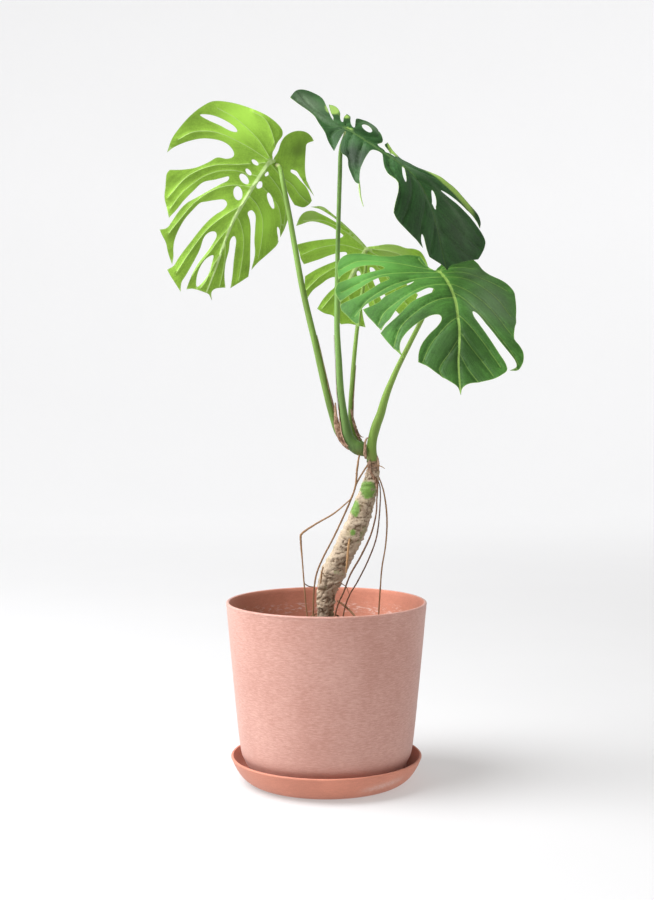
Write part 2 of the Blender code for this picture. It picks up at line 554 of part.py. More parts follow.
# --- dry sheaths: papery strips that clasp the foot of a petiole ------------------------------
SHEATH_THICKNESS = 0.0007
SHEATH_CLEARANCE = 0.0009
SHEATHS = {   # petiole, lowest and highest height in mm, direction and half width in degrees
    "sheath_left": ("petiole_left", 446, 540, 20, 50),
    "sheath_centre": ("petiole_centre", 416, 540, 180, 50),
    "sheath_back": ("petiole_back", 420, 508, 10, 70),
}


def build_sheath(name):
    """A strip beside its petiole, widest at its foot and narrowing to a point at its top."""
    petiole, lowest, highest, facing, half_width = SHEATHS[name]
    line = smooth_line(np.array(PETIOLES[petiole][2]) * MM, 0.008)
    line = line[(line[:, 2] > lowest * MM) & (line[:, 2] < highest * MM)]
    across, beyond = frames_along(line[:, :3])
    outward = across[0] if across[0][0] > 0 else -across[0]
    strips = 5
    verts = []
    for row, (station, side, other) in enumerate(zip(line, across, beyond)):
        share = row / (len(line) - 1)
        width = half_width * (1 - 0.8 * share)
        out = side * np.sign(side.dot(outward))
        reach = station[3] + SHEATH_CLEARANCE
        for turn in np.radians(facing + np.linspace(-width, width, strips)):
            verts.append(station[:3] + reach * (math.cos(turn) * out + math.sin(turn) * other))
    faces = []
    for low in range(0, (len(line) - 1) * strips, strips):
        for k in range(strips - 1):
            faces.append((low + k, low + k + 1, low + strips + k + 1, low + strips + k))
    made = add_object(name, mesh_from(name, verts, faces), "sheath", sharp=80)
    first = made.data.polygons[0]
    thicken = made.modifiers.new("thickness", "SOLIDIFY")
    thicken.thickness = SHEATH_THICKNESS
    away = np.array(first.center) - line[0, :3]
    thicken.offset = 1.0 if np.array(first.normal).dot(away) > 0 else -1.0
    return made


# --- roots, as (x, y, z, radius) in millimetres -----------------------------------------------
GROUND = SOIL_TOP / MM + 0.4
ROOTS = {
    "aerial_root_left": [
        (39, -9, 394, 1.3), (37, -12, 380, 1.5), (35, -14, 361, 1.3), (29, -15, 344, 1.3),
        (19, -16, 321, 1.3), (8, -17, 298, 1.2), (-4, -18, 275, 1.2), (-12, -18, 255, 1.2),
        (-15, -17, 235, 1.1), (-16, -16, 210, 1.1), (-17, -16, 190, 1.1), (-18, -17, GROUND, 1.1)],
    "aerial_root_knee": [
        (24, -18, 344, 0.9), (8, -20, 328, 1.1), (-13, -21, 316, 1.2), (-29, -22, 305, 1.5),
        (-31, -22, 298, 1.5), (-29, -22, 271, 1.0), (-27, -22, 245, 1.0), (-25, -22, 221, 0.9),
        (-23, -22, 200, 0.9), (-22, -22, GROUND, 0.9)],
    "aerial_root_front": [
        (61, -9, 357, 0.9), (61, -13, 345, 1.0), (60, -17, 328, 1.1), (54, -19, 304, 1.2),
        (42, -21, 278, 1.3), (29, -21, 255, 1.2), (21, -21, 234, 1.1), (14, -19, 218, 1.0),
        (10, -18, 200, 0.9), (8, -20, GROUND, 0.9)],
    "aerial_root_slant": [
        (66, -5, 355, 0.8), (65, -7, 335, 0.9), (61, -10, 300, 1.0), (51, -13, 272, 1.0),
        (38, -15, 246, 1.0), (29, -16, 231, 0.9), (23, -17, 216, 0.9), (19, -19, 195, 0.9),
        (18, -21, GROUND, 0.9)],
    "aerial_root_right": [
        (66, 1, 366, 0.9), (70, 2, 353, 1.0), (73, 2, 334, 1.1), (74, 2, 311, 1.1),
        (72, 2, 285, 1.0), (68, 1, 261, 1.0), (66, 0, 237, 1.0), (64, 0, 203, 1.0),
        (63, 0, GROUND, 1.0)],
    "root_stub_front": [(28, -16, 298, 1.2), (26.5, -18, 287, 1.6), (25, -18, 270, 1.5),
                        (24, -17, 256, 1.0)],
    "root_stub_left": [(-4, -16, 264, 0.9), (-6, -18, 254, 1.2), (-7, -18, 243, 1.0)],
    "surface_root_front": [(13, -8, 221, 1.3), (21, -11, 216, 1.4), (31, -20, 208, 1.4),
                           (43, -31, 192, 1.3), (50, -38, GROUND, 1.1)],
    "surface_root_right": [(12, 4, 202, 1.3), (22, 3, 194, 1.5), (32, 2, 184, 1.5),
                           (39, 1, GROUND, 1.3)],
    "surface_root_left": [(-14, 4, 201, 1.3), (-24, 7, 193, 1.5), (-33, 10, 183, 1.5),
                          (-39, 12, GROUND, 1.3)],
}
ROOT_STEP = 0.0090


def build_root(name):
    """A thin root, round and closed at both ends."""
    line = smooth_line(np.array(ROOTS[name]) * MM, ROOT_STEP)
    return add_object(name, tube_mesh(name, line, 6), "root", sharp=80)


def build():
    """Clear the scene and make every piece."""
    for old in list(bpy.data.objects):
        bpy.data.objects.remove(old, do_unlink=True)
    build_saucer()
    build_pot()
    build_soil()
    build_stem("stem", 0.0)
    for name in BLADES:
        build_blade(name)
    for name in PETIOLES:
        build_petiole(name)
    for name in SHEATHS:
        build_sheath(name)
    for name in ROOTS:
        build_root(name)


build()
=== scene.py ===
"""Potted monstera: the visible surfaces of the plant, its pot and its saucer.

Metres, +Z up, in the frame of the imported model. Every piece is a mesh made here: turned pottery,
compost, a woody stem, stalks, split leaves laid out flat and then folded, dry husks and roots.
"""

import math

import bpy
import numpy as np
from bpy.props import FloatProperty, FloatVectorProperty, PointerProperty
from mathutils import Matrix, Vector, noise
from mathutils.geometry import delaunay_2d_cdt


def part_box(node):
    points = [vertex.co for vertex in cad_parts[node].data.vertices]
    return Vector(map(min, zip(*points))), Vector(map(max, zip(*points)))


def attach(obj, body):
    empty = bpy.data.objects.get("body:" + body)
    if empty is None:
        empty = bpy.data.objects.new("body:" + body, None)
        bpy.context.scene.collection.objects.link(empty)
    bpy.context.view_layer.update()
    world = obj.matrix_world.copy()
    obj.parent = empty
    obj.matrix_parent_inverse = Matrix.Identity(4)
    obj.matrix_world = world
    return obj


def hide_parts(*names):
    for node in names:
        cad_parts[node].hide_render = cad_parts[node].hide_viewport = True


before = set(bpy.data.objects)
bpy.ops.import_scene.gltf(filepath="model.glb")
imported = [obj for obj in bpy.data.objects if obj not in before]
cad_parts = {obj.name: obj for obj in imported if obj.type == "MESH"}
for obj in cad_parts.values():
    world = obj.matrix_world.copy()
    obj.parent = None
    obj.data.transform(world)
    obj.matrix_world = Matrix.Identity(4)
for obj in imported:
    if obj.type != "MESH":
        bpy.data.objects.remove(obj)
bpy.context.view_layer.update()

bl_info = {
    "name": "Potted monstera",
    "version": (1, 0, 0),
    "blender": (4, 5, 0),
    "location": "3D View > Sidebar > Monstera",
    "description": "Builds a split-leaf monstera in a turned pot and saucer",
    "category": "Object",
}

BODY = "root"
MM = 0.001
POT_LOW, POT_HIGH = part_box("pot")
SAUCER_LOW, SAUCER_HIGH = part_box("saucer")
SOIL_LOW, SOIL_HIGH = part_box("soil")


# --- finishes: node materials written as expressions -------------------------------------------
class Value:
    """A socket of a finish. Arithmetic on values adds Math nodes."""

    def __init__(self, finish, socket):
        self.finish = finish
        self.socket = socket

    def math(self, operation, first, second):
        return self.finish.node("ShaderNodeMath", {"operation": operation}, {0: first, 1: second})

    def __add__(self, other):
        return self.math("ADD", self, other)

    def __sub__(self, other):
        return self.math("SUBTRACT", self, other)

    def __rsub__(self, other):
        return self.math("SUBTRACT", other, self)

    def __mul__(self, other):
        return self.math("MULTIPLY", self, other)

    __radd__ = __add__
    __rmul__ = __mul__


class Finish:
    """A material: its Principled shader, and the nodes that feed what varies over the surface."""

    def __init__(self, name, **fixed):
        self.material = bpy.data.materials.new(name)
        self.material.use_nodes = True
        self.tree = self.material.node_tree
        self.shader = self.tree.nodes["Principled BSDF"]
        for socket, value in fixed.items():
            self.shader.inputs[socket.replace("_", " ")].default_value = value

    def node(self, kind, settings=None, inputs=None, output=0):
        """Any node: its settings are made first, then its sockets take values or links."""
        made = self.tree.nodes.new(kind)
        for name, value in (settings or {}).items():
            setattr(made, name, value)
        for socket, value in (inputs or {}).items():
            self.feed(made.inputs[socket], value)
        return Value(self, made.outputs[output])

    def feed(self, socket, value):
        if isinstance(value, Value):
            self.tree.links.new(value.socket, socket)
        else:
            socket.default_value = value

    def reading(self, name):
        """A number stored on the mesh's points."""
        return self.node("ShaderNodeAttribute", {"attribute_name": name}, output="Fac")

    def grain(self, scale, stretch=(1, 1, 1), detail=3.0, roughness=0.55, place=None):
        """Noise about 0.5, in the object's own space, finer along the axes that are stretched."""
        if place is None:
            place = self.node("ShaderNodeTexCoord", output="Object")
        place = self.node("ShaderNodeVectorMath", {"operation": "MULTIPLY"}, {0: place, 1: stretch})
        return self.node("ShaderNodeTexNoise", None, {
            "Vector": place, "Scale": scale, "Detail": detail, "Roughness": roughness})

    def cells(self, scale, stretch=(1, 1, 1)):
        """Distance to the middle of the nearest of many small cells."""
        place = self.node("ShaderNodeTexCoord", output="Object")
        place = self.node("ShaderNodeVectorMath", {"operation": "MULTIPLY"}, {0: place, 1: stretch})
        return self.node("ShaderNodeTexVoronoi", None, {"Vector": place, "Scale": scale})

    def place_of(self, across, along):
        """A place made of two numbers, for grain that follows the veins."""
        return self.node("ShaderNodeCombineXYZ", None, {0: across, 1: along})

    def place_along(self, axis):
        """One of the three coordinates in the object's own space."""
        place = self.node("ShaderNodeTexCoord", output="Object")
        return self.node("ShaderNodeSeparateXYZ", None, {0: place}, output=axis)

    def height(self):
        return self.place_along(2)

    def step(self, value, low, high):
        """0 below low, 1 above high, and a smooth rise between."""
        return self.node("ShaderNodeMapRange", {"interpolation_type": "SMOOTHSTEP"}, {
            "Value": value, "From Min": low, "From Max": high})

    def tint(self, share, first, second):
        """The first colour where share is 0, the second where it is 1."""
        colours = [value if isinstance(value, Value) else (*value, 1.0) for value in (first, second)]
        return self.node("ShaderNodeMix", {"data_type": "RGBA"},
                         {0: share, 6: colours[0], 7: colours[1]}, output=2)

    def colour(self, value):
        self.feed(self.shader.inputs["Base Color"], value)

    def rough(self, value):
        self.feed(self.shader.inputs["Roughness"], value)

    def bump(self, relief, distance, strength=1.0):
        """Fine relief, in metres for a change of 1, on top of the mesh's own shape."""
        normal = self.node("ShaderNodeBump", None, {
            "Height": relief, "Distance": distance, "Strength": strength})
        self.feed(self.shader.inputs["Normal"], normal)


def scaled(colour, share, lift=0.0):
    """A colour made lighter or darker by a share, with some white added."""
    return tuple(min(1.0, value * share + lift) for value in colour)


def shade(name, description, default):
    """A colour that a user would change."""
    return FloatVectorProperty(name=name, description=description, subtype="COLOR",
                               default=default, min=0, max=1)


# --- lines and meshes --------------------------------------------------------------------------
def smooth_line(points, step):
    """A Catmull-Rom curve through the points, sampled evenly about every step."""
    points = [np.array(point, float) for point in points]
    line = [points[0] * 2 - points[1], *points, points[-1] * 2 - points[-2]]
    dense = []
    for before, start, end, after in zip(line, line[1:], line[2:], line[3:]):
        for t in np.linspace(0, 1, 24, endpoint=False):
            dense.append(0.5 * (2 * start + (end - before) * t
                                + (2 * before - 5 * start + 4 * end - after) * t ** 2
                                + (3 * start - before - 3 * end + after) * t ** 3))
    dense.append(points[-1])
    dense = np.array(dense)
    along = lengths_along(dense)
    count = max(2, int(round(along[-1] / step)) + 1)
    return at_places(dense, along, np.linspace(0, along[-1], count))


def route_line(route, step):
    """The curve through a route given in millimetres, in metres."""
    return smooth_line(np.array(route) * MM, step)


def lengths_along(line):
    """How far along the line each of its points is."""
    return np.r_[0, np.cumsum(np.linalg.norm(np.diff(line[:, :3], axis=0), axis=1))]


def at_places(line, along, places):
    """The line's points, and its radius where it has one, at some places along it."""
    return np.stack([np.interp(places, along, line[:, axis]) for axis in range(line.shape[1])], 1)


def frames_along(line):
    """Two side vectors for every point of a line, carried along it without twist."""
    tangents = np.gradient(line, axis=0)
    tangents /= np.linalg.norm(tangents, axis=1)[:, None]
    side = np.cross(tangents[0], (0.0, 1.0, 0.0))
    side /= np.linalg.norm(side)
    sides = []
    for tangent in tangents:
        side = side - tangent * side.dot(tangent)
        side /= np.linalg.norm(side)
        sides.append(side)
    return np.array(sides), np.cross(tangents, sides)


def domed(line):
    """The same line with extra stations at both ends, where its radius closes in a dome."""
    along = lengths_along(line)
    first, last, total = line[0, 3], line[-1, 3], along[-1]
    near = [first * part for part in DOME]
    far = [total - last * part for part in reversed(DOME)]
    between = [place for place in along if near[-1] + first / 4 < place < far[0] - last / 4]
    places = np.array([0, *near, *between, *far, total])
    line = at_places(line, along, places)
    for radius, depth in ((first, places), (last, total - places)):
        line[:, 3] *= np.sqrt(1 - (1 - np.clip(depth / radius, 0, 1)) ** 2)
    return line


DOME = (0.03, 0.12, 0.28, 0.5, 0.75, 1.0)     # a round end's rings, in radii from its tip


def tube(line, sides, relief=None):
    """A round tube with domed ends along a line of (x, y, z, radius). relief gives how far a
    point stands out from it, from the point, its direction and its radius."""
    line = domed(line)
    across, beyond = frames_along(line[:, :3])
    turns = np.arange(sides) * math.tau / sides
    verts = [line[0, :3]]
    for station, side, other in list(zip(line, across, beyond))[1:-1]:
        for turn in turns:
            outward = math.cos(turn) * side + math.sin(turn) * other
            point = station[:3] + station[3] * outward
            if relief:
                point = point + outward * relief(point, outward, station[3])
            verts.append(point)
    verts.append(line[-1, :3])
    last = 1 + (len(line) - 3) * sides
    faces = []
    for k in range(sides):
        after = (k + 1) % sides
        faces.append((0, 1 + after, 1 + k))
        faces.append((len(verts) - 1, last + k, last + after))
        for low in range(1, last, sides):
            faces.append((low + k, low + after, low + sides + after, low + sides + k))
    return np.array(verts), faces


def turned(profile, sides, relief=None, closed=True):
    """A (radius, height) outline turned about the vertical axis, closed or open. relief gives
    how far a point stands out from it, from its turn and height."""
    turns = np.arange(sides) * math.tau / sides
    verts = []
    rings = []
    for radius, height in profile:
        if radius == 0:
            rings.append([len(verts)] * sides)
            verts.append((0.0, 0.0, height))
            continue
        rings.append(list(range(len(verts), len(verts) + sides)))
        for turn in turns:
            out = radius + (relief(turn, height) if relief else 0.0)
            verts.append((out * math.cos(turn), out * math.sin(turn), height))
    pairs = list(zip(rings, rings[1:]))
    if closed and profile[0][0] > 0:
        pairs.append((rings[-1], rings[0]))
    faces = []
    for low, high in pairs:
        for k in range(sides):
            after = (k + 1) % sides
            corners = [low[k], low[after], high[after], high[k]]
            faces.append(tuple(dict.fromkeys(corners)))
    return np.array(verts), faces


def arc(centre, radius, start, end, count):
    """Points on an arc in the (radius, height) plane, angles in degrees."""
    turns = np.radians(np.linspace(start, end, count))
    return [(centre[0] + radius * math.cos(t), centre[1] + radius * math.sin(t)) for t in turns]


def rippled(point, scale, depth=3):
    """Layered noise between about -1 and 1 at a point, for features about 1/scale across."""
    total = 0.0
    share = 1.0
    for _ in range(depth):
        total += share * noise.noise(Vector(point) * scale)
        scale *= 2.1
        share *= 0.5
    return total


def add_piece(name, verts, faces, finishes, replaced=(), readings=None, kinds=None):
    """A smooth mesh object that rides on the plant's body, with numbers stored on its points and
    a finish number for each face."""
    mesh = bpy.data.meshes.new(name)
    mesh.from_pydata([tuple(vert) for vert in verts], [], faces)
    for reading, values in (readings or {}).items():
        layer = mesh.attributes.new(reading, "FLOAT", "POINT")
        layer.data.foreach_set("value", np.asarray(values, np.float32))
    for finish in finishes:
        mesh.materials.append(finish.material)
    if kinds is not None:
        mesh.polygons.foreach_set("material_index", np.asarray(kinds, np.int32))
    mesh.shade_smooth()
    mesh.set_sharp_from_angle(angle=math.radians(SHARP))
    piece = bpy.data.objects.new(name, mesh)
    bpy.context.scene.collection.objects.link(piece)
    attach(piece, BODY)
    if replaced:
        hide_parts(*replaced)
    return piece


SHARP = 60.0            # edges turned by more degrees than this stay crisp


# --- leaf blades -------------------------------------------------------------------------------
TIP = True              # marks a sharp point on a margin
EASING = 0.020          # length over which a blade's bends are smoothed
MARGIN_STEP = 0.0020
VEIN_STEP = 0.0024
GRID = 0.0028
VEIN_CLEAR = 0.0012     # a vein stops this far from the margin
GRID_CLEAR = 0.0014     # free points keep this far from the veins and the margin
EDGE_THIN = 0.00025     # the blade's thickness at its margin, and away from it
BLADE_THICK = 0.00060
SWELL = 0.0026          # how high the blade domes between its veins, at most
SWELL_REACH = 0.0070    # the gap between veins that gives half of that
GROOVE = 0.00070        # depth of the upper side over a side vein, and its half width
GROOVE_WIDTH = 0.0012
RIB_RISE = 0.0013       # how far the midrib stands out below, and its half width
RIB_WIDTH = 0.0017
VEIN_RISE = 0.00060     # how far a side vein stands out below
WAVE = 0.0010           # slow waves of the whole blade
OUTER_LANE = 0.020      # width given to the lane beyond the last vein


class BladeForm:
    """Where a blade lies. The flat pattern's u runs along the midrib from the sinus to the
    tip, and v to the side. The midrib's line turns by the pitch angles, and each side folds
    up (or down) from it and then droops in an arc."""

    def __init__(self, sinus, heading, upward, pitch, sides, size=1.0):
        self.size = size
        self.sinus = np.array(sinus, float) * MM
        self.heading = np.array(heading, float) / np.linalg.norm(heading)
        upward = np.array(upward, float) - np.dot(upward, self.heading) * self.heading
        self.upward = upward / np.linalg.norm(upward)
        self.left = np.cross(self.upward, self.heading)
        self.stations = np.linspace(-0.20, 0.35, 1101)
        pitch = np.array(pitch, float)
        self.pitch = np.radians(self.eased(pitch[:, 0], pitch[:, 1]))
        step = self.stations[1] - self.stations[0]
        self.forward = self.running(np.cos(self.pitch)) * step
        self.drop = self.running(np.sin(self.pitch)) * step
        sides = np.array(sides, float)
        self.folds = [self.eased(sides[:, 0], sides[:, column]) for column in range(1, 5)]

    def eased(self, places, values):
        """Values given at places in millimetres, joined up and smoothed."""
        line = np.interp(self.stations, places * MM, values)
        half = int(EASING / (self.stations[1] - self.stations[0])) // 2
        weights = np.hanning(2 * half + 1)
        padded = np.r_[[line[0]] * half, line, [line[-1]] * half]
        return np.convolve(padded, weights / weights.sum(), "valid")

    def running(self, values):
        """The running sum of the values, zero at the sinus."""
        total = np.r_[0, np.cumsum((values[1:] + values[:-1]) / 2)]
        return total - np.interp(0, self.stations, total)

    def at(self, u, v):
        """The points of the pattern (u, v), in metres, and the blade's upper normals there."""
        u = np.atleast_1d(u) * self.size
        v = np.atleast_1d(v) * self.size
        pitch, forward, drop, fold_left, droop_left, fold_right, droop_right = (
            np.interp(u, self.stations, line) for line in (
                self.pitch, self.forward, self.drop, *self.folds))
        midrib = self.sinus + forward[:, None] * self.heading - drop[:, None] * self.upward
        normal = np.cos(pitch)[:, None] * self.upward + np.sin(pitch)[:, None] * self.heading
        fold = np.radians(np.where(v >= 0, fold_left, fold_right))
        droop = np.where(v >= 0, droop_left, droop_right)
        turn = fold + droop * abs(v)
        out = (np.sin(turn) - np.sin(fold)) / droop
        rise = (np.cos(fold) - np.cos(turn)) / droop
        side = np.where(v >= 0, 1.0, -1.0)
        points = midrib + (side * out)[:, None] * self.left + rise[:, None] * normal
        return points, np.cos(turn)[:, None] * normal - (side * np.sin(turn))[:, None] * self.left


def margin_points(outline):
    """A closed margin from given points: smooth runs between the sharp tips."""
    tips = [k for k, point in enumerate(outline) if len(point) > 2]
    if not tips:
        ring = [np.array(point[:2], float) * MM for point in outline]
        wrapped = smooth_line([*ring[-2:], *ring, *ring[:2]], MARGIN_STEP * 0.7)
        start = np.argmin(np.linalg.norm(wrapped[:len(wrapped) // 2] - ring[0], axis=1))
        ends = np.linalg.norm(wrapped - ring[0], axis=1)
        ends[:start + 3] = 1.0
        return wrapped[start:int(np.argmin(ends))]
    joined = []
    for first, last in zip(tips, tips[1:] + [tips[0] + len(outline)]):
        run = [outline[k % len(outline)][:2] for k in range(first, last + 1)]
        joined.extend(smooth_line([np.array(point) * MM for point in run], MARGIN_STEP)[:-1])
    return np.array(joined)


def inside(points, loops):
    """Which points lie in the blade: inside its margin and outside its holes."""
    crossings = np.zeros(len(points), int)
    for loop in loops:
        after = np.roll(loop, -1, axis=0)
        spans = (loop[:, 1] > points[:, 1, None]) != (after[:, 1] > points[:, 1, None])
        rise = np.where(after[:, 1] == loop[:, 1], 1.0, after[:, 1] - loop[:, 1])
        reach = loop[:, 0] + (points[:, 1, None] - loop[:, 1]) / rise * (after[:, 0] - loop[:, 0])
        crossings += (spans & (points[:, 0, None] < reach)).sum(1)
    return crossings % 2 == 1


def nearest_on(points, line):
    """The distance from each point to a line, and which side of it the point lies on."""
    start = line[:-1]
    run = np.diff(line, axis=0)
    from_start = points[:, None] - start
    share = np.clip((from_start * run).sum(-1) / (run ** 2).sum(-1), 0, 1)
    gap = from_start - share[..., None] * run
    far = np.hypot(gap[..., 0], gap[..., 1])
    best = far.argmin(1)
    rows = np.arange(len(points))
    turn = run[best, 0] * from_start[rows, best, 1] - run[best, 1] * from_start[rows, best, 0]
    return far[rows, best], turn


def gaps_to(points, others):
    """How far each point is from the nearest of the others."""
    return np.array([np.hypot(*(others - point).T).min() for point in points])


def laid_out(loops, lines):
    """The flat blade's points and triangles: margins, vein lines and a grid between them."""
    points = []
    edges = []
    for loop in loops:
        first = len(points)
        points.extend(loop)
        edges.extend((first + k, first + (k + 1) % len(loop)) for k in range(len(loop)))
    border = np.array(points)
    for line in lines:
        kept = inside(line, loops) & (gaps_to(line, np.array(points)) > VEIN_CLEAR)
        for k, point in enumerate(line):
            if kept[k]:
                if k and kept[k - 1]:
                    edges.append((len(points) - 1, len(points)))
                points.append(point)
    taken = np.array(points)
    low, high = border.min(0), border.max(0)
    spots = []
    for row, u in enumerate(np.arange(low[0], high[0], GRID * 0.866)):
        for v in np.arange(low[1] + (row % 2) * GRID / 2, high[1], GRID):
            spots.append((u, v))
    spots = np.array(spots)
    spots = spots[inside(spots, loops)]
    points.extend(spots[gaps_to(spots, taken) > GRID_CLEAR])
    flat = [Vector(point) for point in points]
    verts, _, faces, *_ = delaunay_2d_cdt(flat, edges, [], 0, 1e-7, False)
    verts = np.array(verts)
    middles = np.array([verts[list(face)].mean(0) for face in faces])
    kept = inside(middles, loops)
    return verts, [tuple(face) for face, keep in zip(faces, kept) if keep]


def lanes(points, veins, ahead_sign):
    """Numbers that follow the side veins: a lane number that grows from one vein to the next,
    the distance to the nearest vein, and how deep between two veins a point lies."""
    found = [nearest_on(points, vein) for vein in veins]
    far = np.stack([gap for gap, _ in found])
    turn = np.stack([side for _, side in found])
    rows = np.arange(len(points))
    nearest = far.argmin(0)
    ahead = turn[nearest, rows] * ahead_sign > 0
    other = nearest + np.where(ahead, 1, -1)
    outer = (other < 0) | (other >= len(veins))
    second = np.where(outer, OUTER_LANE, far[np.clip(other, 0, len(veins) - 1), rows])
    first = far[nearest, rows]
    share = first / (first + second)
    depth = first * second / (first + second)
    return nearest + np.where(ahead, share, -share), first, depth


def bell(gap, width):
    """1 where the gap is 0, fading to 0 over about the width."""
    return np.exp(-(gap / width) ** 2)


def patchy(u, v, patches):
    """How strongly soft patches of (u, v, long, wide, turn in degrees, strength) cover points
    of the pattern, all in millimetres."""
    total = np.zeros(len(u))
    for place_u, place_v, long, wide, turn, strength in patches:
        lean = math.radians(turn)
        a = (u - place_u) * math.cos(lean) + (v - place_v) * math.sin(lean)
        b = (v - place_v) * math.cos(lean) - (u - place_u) * math.sin(lean)
        total += strength * np.exp(-(a / long) ** 2 - (b / wide) ** 2)
    return total


def build_blade(name, node, form, outline, holes, midrib, veins, patches, finishes):
    """A leaf blade: laid out flat, domed between its veins, folded on its form and given a
    lower side whose midrib and veins stand out."""
    loops = [margin_points(outline), *[margin_points(hole) for hole in holes]]
    midrib = smooth_line([np.array(point) * MM for point in midrib], VEIN_STEP)
    side_veins = []
    for group in veins:
        side_veins.append([smooth_line([np.array(p) * MM for p in vein], VEIN_STEP)
                           for vein in group])
    flat, faces = laid_out(loops, [midrib, *side_veins[0], *side_veins[1]])
    rib, rib_side = nearest_on(flat, midrib)
    margin = np.min([nearest_on(flat, np.vstack([loop, loop[:1]]))[0] for loop in loops], axis=0)
    left = lanes(flat, side_veins[0], -1)
    right = lanes(flat, side_veins[1], 1)
    on_left = rib_side >= 0
    lane, vein, depth = (np.where(on_left, a, b) for a, b in zip(left, right))
    depth = np.minimum(depth, rib)
    u, v = flat[:, 0], flat[:, 1]
    relief = SWELL * depth / (depth + SWELL_REACH)
    relief -= GROOVE * bell(vein, GROOVE_WIDTH) + GROOVE * bell(rib, 2 * GROOVE_WIDTH)
    relief += WAVE * (np.sin(u / 0.017 + 1.3) * np.sin(v / 0.013 + 0.4) + np.sin((u + v) / 0.029))
    thick = EDGE_THIN + (BLADE_THICK - EDGE_THIN) * np.clip(margin / 0.003, 0, 1)
    inward = np.clip(margin / 0.002, 0, 1)
    taper = np.clip(1.15 - u / (u.max() * 1.05), 0.25, 1)
    thick = thick + inward * (RIB_RISE * taper * bell(rib, RIB_WIDTH * (0.5 + 0.5 * taper))
                              + VEIN_RISE * bell(vein, GROOVE_WIDTH))
    points, normals = form.at(u, v)
    upper = points + normals * relief[:, None]
    lower = upper - normals * thick[:, None]
    count = len(flat)
    turned_over = [tuple(count + k for k in reversed(face)) for face in faces]
    uses = {}
    for face in faces:
        for start, end in zip(face, face[1:] + face[:1]):
            uses[start, end] = True
    rim = [(end, start, count + start, count + end) for start, end in uses
           if (end, start) not in uses]
    kinds = [0] * len(faces) + [1] * (len(turned_over) + len(rim))
    readings = {"rib": rib, "vein": vein, "lane": lane + 20 * on_left, "margin": margin,
                "along": u}
    for key in ("rib", "vein", "margin", "along"):
        readings[key] = readings[key] / MM
    for key, spots in patches.items():
        readings[key] = patchy(u / MM, v / MM, spots)
    readings = {key: np.r_[value, value] for key, value in readings.items()}
    verts = np.vstack([upper, lower])
    add_piece(name, verts, faces + turned_over + rim, finishes, [node], readings, kinds)


def oval(u, v, long, wide, turn):
    """A hole: an oval about (u, v), its long half-axis turned from the u axis by turn degrees."""
    lean = math.radians(turn)
    ring = []
    for t in np.arange(8) * math.tau / 8:
        a, b = long * math.cos(t), wide * math.sin(t)
        ring.append((u + a * math.cos(lean) - b * math.sin(lean),
                     v + a * math.sin(lean) + b * math.cos(lean)))
    return ring


# Margins, midribs and side veins are in millimetres of the flat pattern, as (u along the
# midrib, v to the left). Side veins are grouped as left and right, from the base to the tip.
LEFT_FORM = BladeForm(
    sinus=(-73.1, 33.4, 759.6), heading=(-0.46, 0.16, -0.87), upward=(0, 1, 0.25),
    pitch=[(-100, 0), (0, 0), (200, 7)],
    sides=[(0, 2, -1.2, 38, 0.5), (60, 2, -1.2, 30, 0.5), (160, 0.5, -1.2, 10, 0.5)])
LEFT_MARGIN = [
    (-3, -7, TIP), (-12, -2), (-25, -2), (-36, -4), (-44, 5), (-48, 25), (-46, 50), (-41, 72),
    (-33, 90), (-20, 100), (-5, 107), (12, 112), (30, 115), (48, 113, TIP), (38, 108), (25, 97),
    (13, 82), (6, 65), (5, 52), (9, 42), (15, 39), (21, 45), (25, 56), (35, 63), (48, 74),
    (58, 88), (65, 101, TIP), (72, 102), (85, 97), (98, 92), (108, 84), (118, 76, TIP), (104, 72),
    (90, 69), (75, 64), (60, 58), (50, 46), (42, 37), (39, 33), (44, 32), (52, 38), (65, 47),
    (80, 57), (92, 65), (105, 69), (120, 71), (130, 73), (136, 80, TIP), (141, 74), (147, 66),
    (157, 58), (168, 47, TIP), (158, 50), (148, 55), (138, 58), (125, 59), (110, 58), (95, 54),
    (84, 50), (79, 44), (73, 36), (67, 26), (70, 20), (78, 21), (88, 27), (100, 32), (115, 36),
    (130, 39), (145, 42), (158, 44), (168, 45), (176, 50, TIP), (181, 43), (187, 33),
    (193, 23, TIP), (182, 27), (170, 26), (150, 25), (135, 25), (120, 27), (111, 24), (107, 18),
    (111, 14), (120, 14), (135, 16), (150, 19), (165, 20), (180, 19), (187, 18, TIP), (183, 12),
    (181, 4), (180, -4), (180, -10), (185, -17, TIP), (176, -12), (169, -15), (163, -25, TIP),
    (150, -17), (135, -11), (120, -8), (108, -4), (101, -6), (105, -11), (116, -15), (130, -20),
    (145, -26), (161, -31, TIP), (150, -38), (138, -46, TIP), (125, -42), (110, -35), (95, -28),
    (84, -23), (75, -17), (68, -10), (63, -14), (67, -22), (80, -28), (95, -34), (110, -42),
    (129, -46, TIP), (116, -51), (104, -58), (90, -65), (83, -66, TIP), (75, -60), (67, -56),
    (69, -60), (77, -66, TIP), (65, -67), (52, -66), (40, -63), (28, -52), (17, -40), (20, -45),
    (28, -57), (34, -68, TIP), (32, -82), (26, -89), (20, -92, TIP), (14, -85), (8, -75),
    (4, -62), (1, -52), (0, -42), (-3, -41), (-4, -50), (-1, -58), (6, -72), (14, -94, TIP),
    (3, -76), (-9, -64), (-20, -56), (-32, -49), (-40, -46), (-47, -54, TIP), (-51, -46),
    (-52, -34), (-47, -20), (-38, -10), (-28, -7), (-15, -9)]
